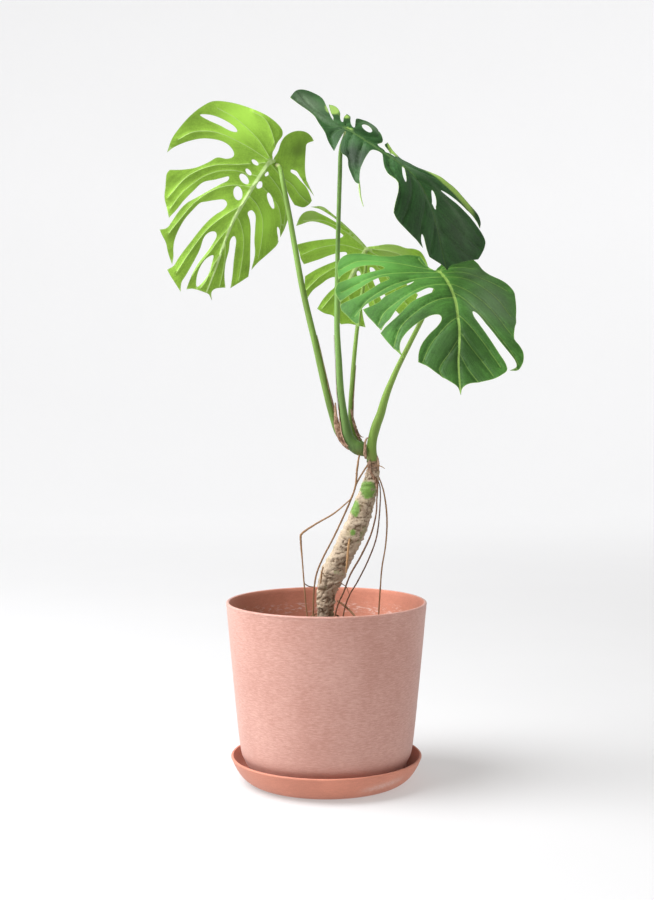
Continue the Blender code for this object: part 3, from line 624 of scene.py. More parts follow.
LEFT_HOLES = [
    [(-11, 97), (-17, 85), (-19, 70), (-18, 55), (-14, 48), (-11, 56), (-11, 70), (-10, 85)],
    oval(9, 12, 5, 2.4, 100), oval(23, 14, 5, 2.4, 112), oval(33, 15, 7.5, 4.2, 112),
    oval(52, 14, 8.5, 5.5, 145), oval(31, -7, 4.8, 4.0, 0), oval(15, -9, 3.2, 2.2, 0),
    oval(42, -32, 12, 3.0, 128),
    [(134, 7), (142, 13), (155, 15), (168, 13), (178, 8), (170, 4), (157, 2), (145, 4)]]

TOP_FORM = BladeForm(
    sinus=(21.8, -45, 784.5), heading=(0.76, -0.42, -0.50), upward=(0.45, -0.22, 0.86),
    size=0.973,
    pitch=[(-100, 0), (0, 0), (90, 5), (120, 22), (150, 38), (180, 48), (260, 52)],
    sides=[(-100, 26, -1, -25, -3), (-40, 26, -1, -35, -4), (0, 24, -1, -52, -5),
           (30, 24, -2, -52, -5), (60, 18, -2, -52, -5), (90, 6, -3, -25, -4),
           (120, 22, -2, -10, -3), (260, 26, -1, -5, -3)])
TOP_MARGIN = [
    (-21, 3, TIP), (-29, 8), (-41, 18), (-55, 29), (-65, 36), (-74, 39), (-83, 39), (-91, 37),
    (-96, 30), (-96, 20), (-92, 9), (-87, -2, TIP), (-70, -4), (-55, -5), (-42, -8), (-30, -14),
    (-15, -20), (-4, -27), (11, -34, TIP), (8, -24), (5, -12), (4, -4), (7, -7), (8, -14),
    (12, -22), (20, -31), (32, -33), (42, -42), (52, -48), (62, -53), (78, -60, TIP),
    (67, -49), (58, -38), (54, -28), (51, -18), (50, -9), (56, -5), (63, -5), (68, -9),
    (76, -17), (88, -28), (100, -37), (112, -42), (122, -45), (130, -50), (140, -57), (150, -65),
    (160, -72), (170, -78, TIP), (179, -75), (188, -67), (197, -58), (205, -48),
    (212, -41, TIP), (203, -40), (195, -37), (199, -35), (213, -34), (222, -32, TIP),
    (226, -22), (230, -12), (236, 1, TIP), (231, 6), (228, 18), (225, 34), (223, 48),
    (222, 57, TIP), (215, 65), (207, 72), (199, 75), (190, 71), (178, 60), (167, 49), (157, 40),
    (147, 30), (139, 24), (143, 31), (153, 42), (165, 53, TIP), (168, 57), (176, 65),
    (185, 69, TIP), (178, 73), (170, 72), (160, 63), (153, 58), (146, 54), (137, 50), (127, 44),
    (115, 41), (100, 34), (90, 24), (82, 12), (70, 15), (58, 20), (48, 25, TIP), (51, 15),
    (60, 10), (70, 7), (77, 4), (68, 2), (58, 2), (49, 3), (46, 10), (44, 20), (33, 31),
    (20, 39), (8, 42), (-2, 41), (-8, 34), (-5, 27), (0, 20), (6, 11), (1, 11), (-7, 19),
    (-14, 28), (-22, 31, TIP), (-18, 20), (-10, 8), (-14, 9), (-20, 15), (-28, 25), (-37, 32),
    (-45, 34), (-51, 31, TIP), (-45, 25), (-35, 16), (-26, 9)]
TOP_HOLES = [oval(16, 23, 10.5, 6, -36), oval(110, -18, 20, 2.2, -42), oval(150, 6, 13, 3.2, -18)]

BACK_FORM = BladeForm(
    sinus=(51.3, 90, 657.3), heading=(-0.45, 0.3, -0.84), upward=(0.05, 1, 0.3),
    pitch=[(0, 0), (200, 10)], sides=[(0, 0, -1, 0, -1)])
BACK_MARGIN = [
    (-2, 1, TIP), (-9, 20), (-15, 40), (-20, 60), (-22, 75), (-15, 88, TIP), (-18, 76),
    (-17, 62), (-15, 50), (-12, 46), (-13, 60), (-13, 73), (-12, 83), (-6, 91), (3, 94),
    (15, 93, TIP), (10, 88), (2, 80), (-2, 70), (-4, 55), (-3, 44), (-1, 34), (5, 38), (12, 50),
    (22, 65), (30, 75), (36, 82, TIP), (42, 76), (50, 69), (55, 62, TIP), (48, 55), (40, 47),
    (32, 40), (25, 33), (19, 26), (17, 20), (23, 19), (33, 28), (42, 36), (55, 46), (68, 54, TIP),
    (75, 51), (85, 46), (95, 38, TIP), (87, 38), (78, 36), (68, 31), (58, 26), (52, 20), (54, 15),
    (64, 14), (72, 17), (85, 20), (99, 21, TIP), (100, 10), (98, -2), (103, -16, TIP),
    (98, -24), (95, -34), (92, -46, TIP), (80, -36), (68, -28), (57, -20), (54, -24),
    (62, -34), (74, -46), (84, -58, TIP), (78, -64), (70, -68, TIP), (60, -58), (50, -47),
    (38, -32), (28, -21), (20, -15), (19, -21), (28, -32), (40, -45), (50, -60), (56, -76, TIP),
    (46, -82), (34, -86), (22, -86, TIP), (18, -70), (13, -52), (9, -36), (6, -32), (6, -44),
    (8, -60), (7, -76), (1, -86, TIP), (-10, -84), (-20, -76), (-28, -64), (-28, -54),
    (-24, -44), (-22, -32), (-17, -20), (-9, -9)]
BACK_HOLES = [oval(16, 9, 4, 2.5, 60), oval(30, 10, 5, 3, 50), oval(34, -6, 4, 2.5, -40)]

RIGHT_FORM = BladeForm(
    sinus=(129.8, -75, 615.3), heading=(0.08, -0.80, -0.58), upward=(0, -0.5, 0.85),
    pitch=[(-60, 0), (0, 0), (200, 32)],
    sides=[(-60, 0, -2, 3, -1.5), (0, -3, -4, 2, -1.5), (60, -8, -4, 0, -2), (200, 0, -3, 0, -2)])
RIGHT_MARGIN = [
    (-1, -4, TIP), (-12, -11), (-22, -14), (-33, -17, TIP), (-35, -32), (-34, -50), (-37, -65),
    (-42, -80), (-44, -93), (-42, -104), (-34, -112), (-20, -116), (4, -117, TIP), (-5, -111),
    (-13, -100), (-17, -88), (-17, -76), (-14, -66), (-9, -62), (-6, -68), (-3, -80), (0, -92),
    (4, -105), (9, -118, TIP), (20, -122), (31, -121), (41, -118, TIP), (33, -108), (24, -95),
    (15, -82), (9, -70), (9, -60), (14, -60), (19, -70), (27, -82), (35, -95), (40, -106),
    (45, -119, TIP), (54, -118), (63, -113), (73, -108), (85, -101, TIP), (72, -99), (60, -97),
    (52, -91), (46, -82), (40, -71), (30, -51), (24, -39), (20, -31), (26, -37), (33, -50),
    (42, -67), (49, -74), (54, -83), (58, -94, TIP), (70, -90), (80, -85), (90, -80),
    (97, -77, TIP), (88, -72), (80, -65), (70, -59), (61, -52), (50, -41), (42, -28), (36, -17),
    (39, -11), (45, -14), (51, -25), (58, -38), (67, -47), (77, -56), (86, -65), (93, -72),
    (101, -78, TIP), (108, -75), (116, -71), (125, -65), (139, -55, TIP), (128, -59),
    (116, -57), (105, -50), (95, -40), (88, -30), (82, -19), (82, -10), (89, -9), (98, -15),
    (108, -25), (120, -34), (132, -39), (144, -41, TIP), (150, -32), (160, -22), (170, -10),
    (178, -1), (188, 1, TIP), (179, 4), (174, 12), (172, 25), (169, 38), (164, 48), (157, 56),
    (147, 56), (135, 52), (120, 47), (105, 41), (92, 35), (80, 30), (71, 30), (75, 36),
    (88, 43), (100, 50), (115, 57), (130, 64), (142, 69), (151, 68), (157, 59, TIP), (156, 68),
    (150, 74), (140, 79), (128, 81), (118, 79), (108, 75), (100, 76), (85, 80), (70, 86),
    (50, 90), (30, 91), (17, 90), (8, 83), (3, 75), (-2, 62), (-9, 54), (-20, 49), (-31, 40),
    (-37, 27), (-34, 13), (-22, 6), (-11, 4)]
RIGHT_HOLES = []

LEFT_MIDRIB = [(-3, -9), (0, -4), (30, 0), (50, 2), (80, 4), (100, 3), (120, 1), (150, -3),
               (180, -6)]
LEFT_VEINS = [
     [[(-4, -6), (-24, 2), (-42, 22), (-44, 42)], [(-3, -4), (-18, 22), (-27, 55), (-28, 82)],
     [(-1, -2), (-4, 30), (-2, 68), (10, 94), (28, 108)], [(3, 0), (20, 28), (36, 56), (62, 78),
      (96, 88)], [(22, 1), (31, 34), (50, 58), (80, 74), (108, 80)], [(38, 3), (46, 24), (62, 42),
      (86, 56), (112, 63), (136, 68)], [(64, 4), (85, 17), (110, 28), (140, 34), (174, 38)],
     [(92, 4), (112, 9), (130, 12), (152, 17), (178, 20)], [(126, 0), (145, 1), (168, 1),
      (180, 4)]], [[(-5, -10), (-22, -24), (-36, -36), (-46, -47)], [(-4, -12), (-11, -30),
      (-9, -48), (0, -66), (9, -82)], [(2, -7), (10, -30), (13, -50), (20, -68), (24, -86)],
     [(12, -3), (19, -22), (28, -40), (44, -56), (66, -64)], [(30, 0), (34, -20), (44, -44),
      (62, -58), (84, -63)], [(48, 2), (54, -16), (66, -31), (84, -40), (112, -48)], [(76, 4),
      (88, -10), (102, -20), (122, -28), (148, -36)], [(112, 2), (130, -7), (148, -13),
      (168, -18)]]]
TOP_MIDRIB = [(-4, 3), (0, 1), (40, -1), (70, -1.5), (120, -2), (170, -3), (210, -3), (234, 0)]
TOP_VEINS = [
     [[(-4, 4), (-30, 18), (-55, 32), (-80, 36)], [(-4, 3), (-22, 14), (-40, 26), (-50, 31)],
     [(-2, 3), (-9, 14), (-20, 28)], [(2, 2), (5, 14), (0, 28), (-2, 38)], [(14, 1), (29, 8),
      (34, 24), (24, 36)], [(30, 0), (42, 6), (44, 16)], [(62, -1), (66, 8), (60, 16)], [(90, -1),
      (104, 15), (124, 33), (150, 50), (174, 67)], [(120, -1), (134, 14), (150, 26), (172, 46),
      (196, 68)], [(150, -2), (168, 14), (190, 36), (208, 64)], [(178, -3), (196, 10), (212, 30),
      (219, 52)], [(205, -3), (218, 6), (227, 20)]], [[(-4, 2), (-34, 2), (-62, 8), (-90, 20)],
     [(-3, 1), (-24, -8), (-50, -2), (-84, 4)], [(-1, 0), (-8, -14), (-2, -24), (8, -31)],
     [(14, 0), (20, -16), (36, -32), (56, -46), (74, -57)], [(32, -1), (38, -14), (46, -28),
      (58, -42)], [(72, -2), (88, -18), (110, -34), (140, -52), (166, -72)], [(106, -3),
      (126, -18), (152, -40), (182, -66)], [(138, -3), (158, -16), (184, -34), (206, -42)],
     [(174, -4), (194, -14), (216, -26)]]]
BACK_MIDRIB = [(0, 0), (20, 1), (40, 1), (75, 0), (101, -9)]
BACK_VEINS = [
     [[(-1, 1), (-12, 34), (-18, 62), (-17, 82)], [(0, 1), (-8, 40), (-7, 66), (4, 88)], [(4, 1),
      (10, 30), (26, 54), (44, 70)], [(18, 1), (34, 20), (58, 36), (84, 45)], [(48, 1), (68, 9),
      (96, 16)]], [[(-1, -1), (-12, -30), (-14, -58), (-12, -78)], [(1, -1), (0, -34), (-4, -62),
      (-2, -82)], [(6, -1), (18, -34), (30, -58), (40, -80)], [(24, 0), (42, -24), (60, -44),
      (76, -62)], [(56, 0), (76, -18), (92, -38)]]]
RIGHT_MIDRIB = [(0, 0), (20, 6), (40, 10), (60, 12), (80, 11), (100, 10), (130, 6), (150, 3),
                (184, 1)]
RIGHT_VEINS = [
     [[(-1, 1), (-14, 12), (-28, 30)], [(0, 2), (-8, 22), (-10, 44)], [(6, 3), (2, 32), (8, 58),
      (18, 82)], [(14, 5), (16, 36), (34, 62), (60, 82)], [(26, 8), (38, 32), (62, 56), (98, 74)],
     [(40, 10), (56, 28), (86, 48), (118, 64), (146, 73)], [(76, 11), (94, 23), (120, 37),
      (152, 50)], [(104, 10), (124, 19), (146, 31), (164, 40)], [(134, 6), (152, 12), (171, 22)]],
    [[(-1, -1), (-14, -14), (-30, -20)], [(-1, -1), (-16, -32), (-26, -62), (-30, -90),
      (-18, -113)], [(4, 1), (-1, -30), (2, -64), (10, -90), (24, -116)], [(14, 4), (13, -28),
      (24, -58), (42, -86), (66, -104)], [(28, 8), (31, -20), (48, -48), (66, -70), (88, -80)],
     [(50, 11), (58, -12), (76, -38), (96, -56), (124, -66)], [(82, 11), (96, -4), (120, -24),
      (144, -36)], [(114, 8), (132, -4), (152, -18), (166, -16)]]]

# Soft patches where a leaf is lighter (tone above 0) or darker, partly its own colour and partly
# painted light, painted highlights and painted shade on folds; where it shows its pale lower side
# (rolled); or where a painted grey sheen lies on it.
PATCHES = {
    "leaf_left": {"tone": [
        (-28, 52, 34, 30, 0, 0.9), (83, 30, 26, 18, 30, 0.5), (78, 74, 22, 12, 40, 0.6),
        (4, -61, 30, 16, -70, 0.7), (-30, -38, 18, 18, 0, -0.7), (114, 80, 14, 10, 30, 0.5),
        (125, 58, 22, 12, 40, -0.5), (158, 14, 28, 22, 0, -0.2), (74, -34, 34, 20, 0, 0.7),
        (-8, 108, 12, 22, 0, -0.5), (40, 96, 16, 14, 0, -0.6)]},
    "leaf_top": {
        "tone": [(96, 6, 22, 10, 0, 0.5), (165, -4, 46, 4.5, 5, 0.6), (16, 34, 14, 6, 0, 0.5),
                 (205, 18, 30, 26, 0, -0.2), (150, -48, 34, 16, -30, -0.3),
                 (36, -28, 22, 18, 0, -1.0)],
        "rolled": [(-42, 27, 14, 8, -50, 2.2), (-18, 23, 7, 7, 0, 1.1), (62, 18, 17, 5, -35, 1.8),
                   (137, 48, 36, 7, 24, 1.9), (112, -43, 9, 3, -20, 1.2), (4, 2, 9, 5, 0, 0.9)],
        "haze": [(-70, 12, 26, 16, 0, 0.9), (16, 34, 14, 7, 0, 0.8), (-36, -2, 22, 6, 0, 0.5),
                 (92, 4, 20, 8, 0, 0.5), (165, -4, 46, 3.5, 5, 0.5), (188, 32, 38, 26, 0, 0.3),
                 (150, 26, 40, 3.0, 24, 0.4)]},
    "leaf_back": {"tone": [(25, 40, 30, 30, 0, 0.4)],
                  "rolled": [(-10, -32, 24, 34, 0, 1.0), (-6, 83, 30, 18, 0, 0.9)]},
    "leaf_right": {
        "tone": [(-14, -100, 32, 36, 0, 0.65), (-19, -60, 22, 30, 0, 0.5),
                 (30, -94, 26, 20, 0, 0.5), (52, -50, 26, 16, -60, 0.4), (110, -68, 16, 12, 0, 0.45),
                 (130, 6, 52, 44, 0, -0.75), (86, -30, 20, 14, -50, -0.5),
                 (125, 66, 34, 9, 0, -0.4)],
        "haze": [(50, 60, 36, 26, 0, 0.8), (70, 34, 26, 8, 20, 0.5), (0, 40, 16, 20, 0, 0.5)]},
}
BLADES = {
    "leaf_left": ("blade_left", LEFT_FORM, LEFT_MARGIN, LEFT_HOLES, LEFT_MIDRIB, LEFT_VEINS,
                  "blade_pale"),
    "leaf_top": ("blade_top", TOP_FORM, TOP_MARGIN, TOP_HOLES, TOP_MIDRIB, TOP_VEINS,
                 "blade_dark"),
    "leaf_back": ("blade_back", BACK_FORM, BACK_MARGIN, BACK_HOLES, BACK_MIDRIB, BACK_VEINS,
                  "blade_pale"),
    "leaf_right": ("blade_right", RIGHT_FORM, RIGHT_MARGIN, RIGHT_HOLES, RIGHT_MIDRIB,
                   RIGHT_VEINS, "blade_mid"),
}


ROLLED = (0.270, 0.430, 0.085)      # the pale lower side, where a leaf rolls over
PAINTED_SHEEN_GREY = (0.175, 0.225, 0.150)        # the grey of the painted sheen


def leaf_side(name, dark, light, rib_colour, rib_width, shine, veins):
    """One side of a leaf: mottled green with streaks that run beside the veins, a midrib and
    side veins of another green, and a thin pale margin."""
    finish = Finish(name, Specular_IOR_Level=shine)
    lane = finish.reading("lane")
    rib = finish.reading("rib")
    vein = finish.reading("vein")
    margin = finish.reading("margin")
    tone = finish.reading("tone")
    streaks = finish.grain(1.0, (9.0, 0.05, 1), 3.0, place=finish.place_of(lane, rib))
    blotches = finish.grain(48.0, detail=4.0)
    fine = finish.grain(520.0, detail=3.0)
    share = finish.step(streaks * 0.30 + blotches * 0.42 + fine * 0.28, 0.32, 0.68)
    colour = finish.tint(share, dark, light)
    # Painted light and shade: tone patches lighten lit lobes, paint highlights and darken folds in
    # shade.
    colour = finish.tint(finish.step(tone, 0, 1) * 0.8, colour, scaled(light, 1.55, 0.015))
    colour = finish.tint(finish.step(tone, 0, -1) * 0.85, colour, scaled(dark, 0.42))
    colour = finish.tint(finish.step(finish.reading("rolled"), 0.35, 0.95), colour, ROLLED)
    # Painted sheen: grey patches painted where the leaf shows a shine.
    haze = finish.reading("haze") * (0.55 + fine * 0.4)
    colour = finish.tint(haze * 0.75, colour, PAINTED_SHEEN_GREY)
    lines = (1 - finish.step(vein, 0.15, 0.85)) * veins * (1 - finish.step(tone, 0, -1) * 0.7)
    colour = finish.tint(lines, colour, rib_colour)
    taper = finish.step(finish.reading("along"), 190, 0)
    colour = finish.tint(1 - finish.step(rib - taper * rib_width, 0.45, 1.35), colour, rib_colour)
    colour = finish.tint((1 - finish.step(margin, 0.25, 0.9)) * 0.55, colour, rib_colour)
    finish.colour(colour)
    finish.rough(0.34 + 0.25 * (1 - shine) + blotches * 0.14)
    small_veins = finish.grain(1.0, (30.0, 0.10, 1), 1.0, place=finish.place_of(lane, rib))
    finish.bump(small_veins * 0.7 + fine * 0.35 + blotches * 0.8, 0.0007, 0.55)
    return finish


class LeafSettings(bpy.types.PropertyGroup):
    """Greens of the four leaves and of their stalks."""
    dark_upper: shade("Dark leaf", "Upper side of the oldest leaf", (0.0125, 0.056, 0.008))
    mid_upper: shade("Mid leaf", "Upper side of the younger leaves", (0.037, 0.120, 0.014))
    pale_under: shade("Underside", "Lower side of the leaves", (0.215, 0.385, 0.036))
    stalk: shade("Stalk", "Green of the stalks", (0.120, 0.225, 0.045))


class MONSTERA_OT_leaves(bpy.types.Operator):
    """Build the four split leaves"""
    bl_idname = "monstera.leaves"
    bl_label = "Leaves"

    def execute(self, context):
        greens = context.scene.monstera_leaves
        dark, mid, under = map(tuple, (greens.dark_upper, greens.mid_upper, greens.pale_under))
        rib = (0.46, 0.62, 0.24)
        upper_dark = leaf_side("leaf_dark_upper", scaled(dark, 0.7), scaled(dark, 1.9, 0.008),
                               (0.060, 0.135, 0.030), 0.6, 0.26, 0.30)
        upper_mid = leaf_side("leaf_mid_upper", scaled(mid, 0.75), scaled(mid, 1.8, 0.006),
                              (0.26, 0.42, 0.09), 1.0, 0.30, 0.55)
        lower_pale = leaf_side("leaf_pale_under", scaled(under, 0.85), scaled(under, 1.40, 0.005),
                               rib, 1.9, 0.25, 0.55)
        lower_mid = leaf_side("leaf_mid_under", scaled(under, 0.6), scaled(under, 1.0),
                              rib, 1.2, 0.25, 0.45)
        sides = {"leaf_left": (upper_mid, lower_pale), "leaf_top": (upper_dark, lower_pale),
                 "leaf_back": (upper_mid, lower_pale), "leaf_right": (upper_mid, lower_mid)}
        for name, (node, form, outline, holes, midrib, veins, slot) in BLADES.items():
            build_blade(name, node, form, outline, holes, midrib, veins, PATCHES[name],
                        sides[name])
        drip = [(point[0], point[1], point[2], 0.001) for point in DRIP_ROUTE]
        line = smooth_line(np.array(drip) * (MM, MM, MM, 1), 0.002)
        line[:, 3] = np.interp(np.linspace(0, 1, len(line)), (0, 0.3, 1), DRIP_RADII)
        verts, faces = tube(line, 8)
        add_piece("drip_tip", verts, faces, [lower_pale])
        return {"FINISHED"}


DRIP_ROUTE = [(37.6, -80, 719), (38.2, -81, 708), (39.6, -82, 698), (42.6, -83, 688)]
DRIP_RADII = (0.0006, 0.0013, 0.0004)       # at its root, a third of the way down and its end


# --- stalks ------------------------------------------------------------------------------------
# Routes are (x, y, z, radius) in millimetres. Each foot runs a little way into the stem.
STALKS = {
    "stalk_left": ("petiole_left", LEFT_FORM, (0, -14), [
        (44, 0, 406, 3.6), (36, 3, 407, 4.2), (28, 6, 411, 4.6), (20, 8.5, 418, 4.6),
        (13.5, 10, 428, 4.6), (9.5, 10, 440, 4.5), (4, 9, 459, 4.3), (-5, 7, 496, 4.1),
        (-13, 6, 532, 4.0), (-22, 7, 569, 3.8), (-30, 9, 605, 3.6), (-38, 13, 649, 3.4),
        (-46, 15, 695, 3.1), (-54, 15, 735, 2.8)]),
    "stalk_centre": ("petiole_centre", TOP_FORM, (1, 3), [
        (53, 3, 400, 3.6), (46, -2, 403.5, 7.0), (38, -5, 407, 8.3), (31, -5, 412.5, 7.6),
        (26.2, -5, 421, 6.9), (23.6, -4.5, 431, 6.3), (21.4, -4, 443, 5.4), (19.2, -3, 459, 4.7),
        (17, -2, 477, 4.4),
        (15, 1, 514, 3.9), (13, 3, 550, 3.5), (13, 4, 587, 3.2), (13.5, 1, 635, 2.8),
        (14, -5, 664, 2.7), (15, -15, 699, 2.6), (16, -28, 732, 2.6), (17, -35, 760, 2.5)]),
    "stalk_back": ("petiole_back", BACK_FORM, (4, 0), [
        (54, 3, 403, 2.8), (50, 7.5, 406, 3.0), (45, 13, 410, 3.1), (40, 16, 415, 3.2),
        (34, 18, 425, 3.3), (30, 20, 440, 3.1), (30, 22, 459, 3.0), (31, 25, 477, 2.8),
        (34, 33, 514, 2.7), (38, 41, 552, 2.5), (43, 52, 585, 2.3), (47, 64, 615, 2.2),
        (50, 72, 638, 2.1)]),
    "stalk_right": ("petiole_right", RIGHT_FORM, (4, 0), [
        (57, 0, 386, 5.0), (55.5, -0.5, 394, 6.8), (54.6, -1, 402, 6.6), (55, -1.5, 411, 6.0),
        (56.5, -2, 420, 5.7), (60.3, -5, 434, 5.7), (65.5, -8, 448, 5.2), (69.5, -12, 463, 4.7),
        (74, -17, 477, 4.1), (80, -23, 492, 3.6), (86, -28, 506, 3.2), (99, -40, 533, 2.9),
        (114, -53, 564, 2.7), (126, -60, 592, 2.4)]),
}
# How much painted light each stalk takes; the centre stalk, in shade, takes none.
PAINTED_LIGHT_SHARE = {"stalk_left": 0.35, "stalk_centre": 0.0, "stalk_back": 0.6, "stalk_right": 0.7}
KNEE = 0.010            # how far below its blade a stalk straightens up to meet it
KNEE_RADIUS = 0.0026
STALK_SIDES = 24
STALK_STEP = 0.003


def stalk_relief(point, outward, radius):
    """Long shallow ridges down a stalk, and slight unevenness."""
    return 0.025 * radius * rippled((point[0] * 0.5, point[1] * 0.5, point[2] * 0.12), 330, 2)


class MONSTERA_OT_stalks(bpy.types.Operator):
    """Build the four leaf stalks"""
    bl_idname = "monstera.stalks"
    bl_label = "Stalks"

    def execute(self, context):
        green = tuple(context.scene.monstera_leaves.stalk)
        finish = Finish("stalk_green", Specular_IOR_Level=0.4)
        fibres = finish.grain(90.0, (1, 1, 0.05), 4.0)
        freckles = finish.grain(700.0, (1, 1, 0.35), 2.0)
        colour = finish.tint(finish.step(fibres + freckles * 0.2, 0.42, 0.78),
                             scaled(green, 0.72), scaled(green, 1.45, 0.01))
        painted_sunlight = finish.reading("painted_sunlight")
        # Painted light: a lit yellow-green on the stalks that stand in the light.
        colour = finish.tint(painted_sunlight * 0.75, colour, (0.26, 0.40, 0.045))
        # Painted shade: stalks darken low among the crown, less where painted light lies.
        low = (1 - finish.step(finish.height(), 0.405, 0.520)) * (1 - painted_sunlight * 0.8)
        colour = finish.tint(low * 0.6, colour, scaled(green, 0.40))
        foot = 1 - finish.step(finish.height() + freckles * 0.006, 0.400, 0.412)
        colour = finish.tint(foot * finish.step(fibres, 0.35, 0.75) * 0.8,
                             colour, (0.20, 0.15, 0.045))
        colour = finish.tint(finish.reading("knee") * 0.8, colour, (0.52, 0.52, 0.26))
        finish.colour(colour)
        finish.rough(0.42 + freckles * 0.2)
        finish.bump(fibres + freckles * 0.3, 0.0006, 0.35)
        for name, (node, form, (u, v), route) in STALKS.items():
            spots, normals = form.at(u * MM, v * MM)
            knee = spots[0] - normals[0] * KNEE
            top = spots[0] - normals[0] * BLADE_THICK
            points = [*(np.array(route) * MM), (*knee, KNEE_RADIUS), (*top, KNEE_RADIUS * 0.9)]
            verts, faces = tube(smooth_line(points, STALK_STEP), STALK_SIDES, stalk_relief)
            near_top = np.linalg.norm(verts - top, axis=1)
            knees = np.clip(1.4 - near_top / KNEE, 0, 1)
            painted_sunlight = np.full(len(verts), PAINTED_LIGHT_SHARE[name])
            add_piece(name, verts, faces, [finish], [node],
                      {"knee": knees, "painted_sunlight": painted_sunlight})
        return {"FINISHED"}


# --- stem --------------------------------------------------------------------------------------
STEM_ROUTE = [
    (-3, 1, 135, 8), (-2, 1, 160, 10.5), (-1, 0, 185, 10.5), (-1, 0, 207, 10.2), (-1, 0, 219, 11.4),
    (0, 0, 230, 11.4), (4, 0, 243, 14.2), (10, 0, 258, 14.8), (18, 0, 273, 13.6),
    (27, 0, 292, 13.9), (37, 0, 312, 13.8), (43.5, 0, 331, 12.6), (51.5, 0, 356, 10.6),
    (55, 0, 370, 9.2), (57, 0, 382, 7.6), (56, 0, 392, 7.0), (54.5, 0, 404.5, 6.2)]
LEAF_SCARS = [          # rings left by old leaves: height, half depth of relief, slant
    (216, 0.9, 0.25), (228, 0.4, -0.2), (243, 0.9, 0.35), (257, 0.8, -0.3), (278, 1.0, 0.4),
    (289, 0.4, 0.1), (300, 0.9, -0.25), (318, 0.9, 0.35), (332, 0.4, 0.2), (344, 0.8, -0.3),
    (366, 0.7, 0.3), (379, 0.4, -0.2)]
SCAR_WIDTH = 2.4
STEM_SIDES = 72
STEM_STEP = 0.0014
GREEN_PATCHES = [       # bare green places on the front: x, z, half width, half height
    (50.5, 357, 9.4, 10.6), (34.5, 334, 5.8, 10.2), (32, 305, 3.4, 3.6)]
PATCH_SCAR = (55.5, 357, 1.6)       # a dry spot in the first patch: x, z, radius


def stem_relief(point, outward, radius):
    """Bark: slanting scar ridges, long cracks and a rough grain."""
    x, y, z = point / MM
    middle = np.interp(z, [place[2] for place in STEM_ROUTE], [place[0] for place in STEM_ROUTE])
    out = 0.0
    for height, depth, slant in LEAF_SCARS:
        offset = z - height - slant * (x - middle) - 0.10 * y
        out += depth * (math.exp(-(offset / SCAR_WIDTH) ** 2)
                        - 0.55 * math.exp(-((offset + 3.2) / 1.3) ** 2))
    bare = max(patch_cover(x, y, z, patch) for patch in GREEN_PATCHES)
    wrinkles = rippled((x * 0.32, y * 0.32, z + 0.35 * (x - middle)), 0.30, 4)
    creases = abs(noise.noise(Vector((x * 0.10, y * 0.10, (z - 0.3 * (x - middle)) * 0.21))))
    grain = rippled((x, y, z), 0.55, 3)
    rough = 1.00 * wrinkles + 0.50 * grain - 1.60 * math.exp(-(creases / 0.075) ** 2)
    return MM * (out + (1 - bare) * rough)


def patch_cover(x, y, z, patch):
    """1 in a bare green patch on the front of the stem, 0 away from it."""
    px, pz, half_width, half_height = patch
    if y > -1:
        return 0.0
    away = math.hypot((x - px) / half_width, (z - pz) / half_height)
    away += 0.25 * noise.noise(Vector((x, y, z)) * 0.3)
    spot_x, spot_z, spot = PATCH_SCAR
    scar = math.exp(-((x - spot_x) ** 2 + (z - spot_z) ** 2) / spot ** 2)
    return min(1.0, max(0.0, (1.15 - away) / 0.3)) * (1 - scar)


class StemSettings(bpy.types.PropertyGroup):
    """Colours of the stem and its roots."""
    bark_light: shade("Light bark", "Raised, weathered bark", (0.52, 0.415, 0.305))
    bark_dark: shade("Dark bark", "Bark in cracks and below the scars", (0.155, 0.100, 0.058))
    bare: shade("Bare green", "Green places where the bark has gone", (0.175, 0.315, 0.060))
    root: shade("Root", "Hanging roots", (0.090, 0.042, 0.022))


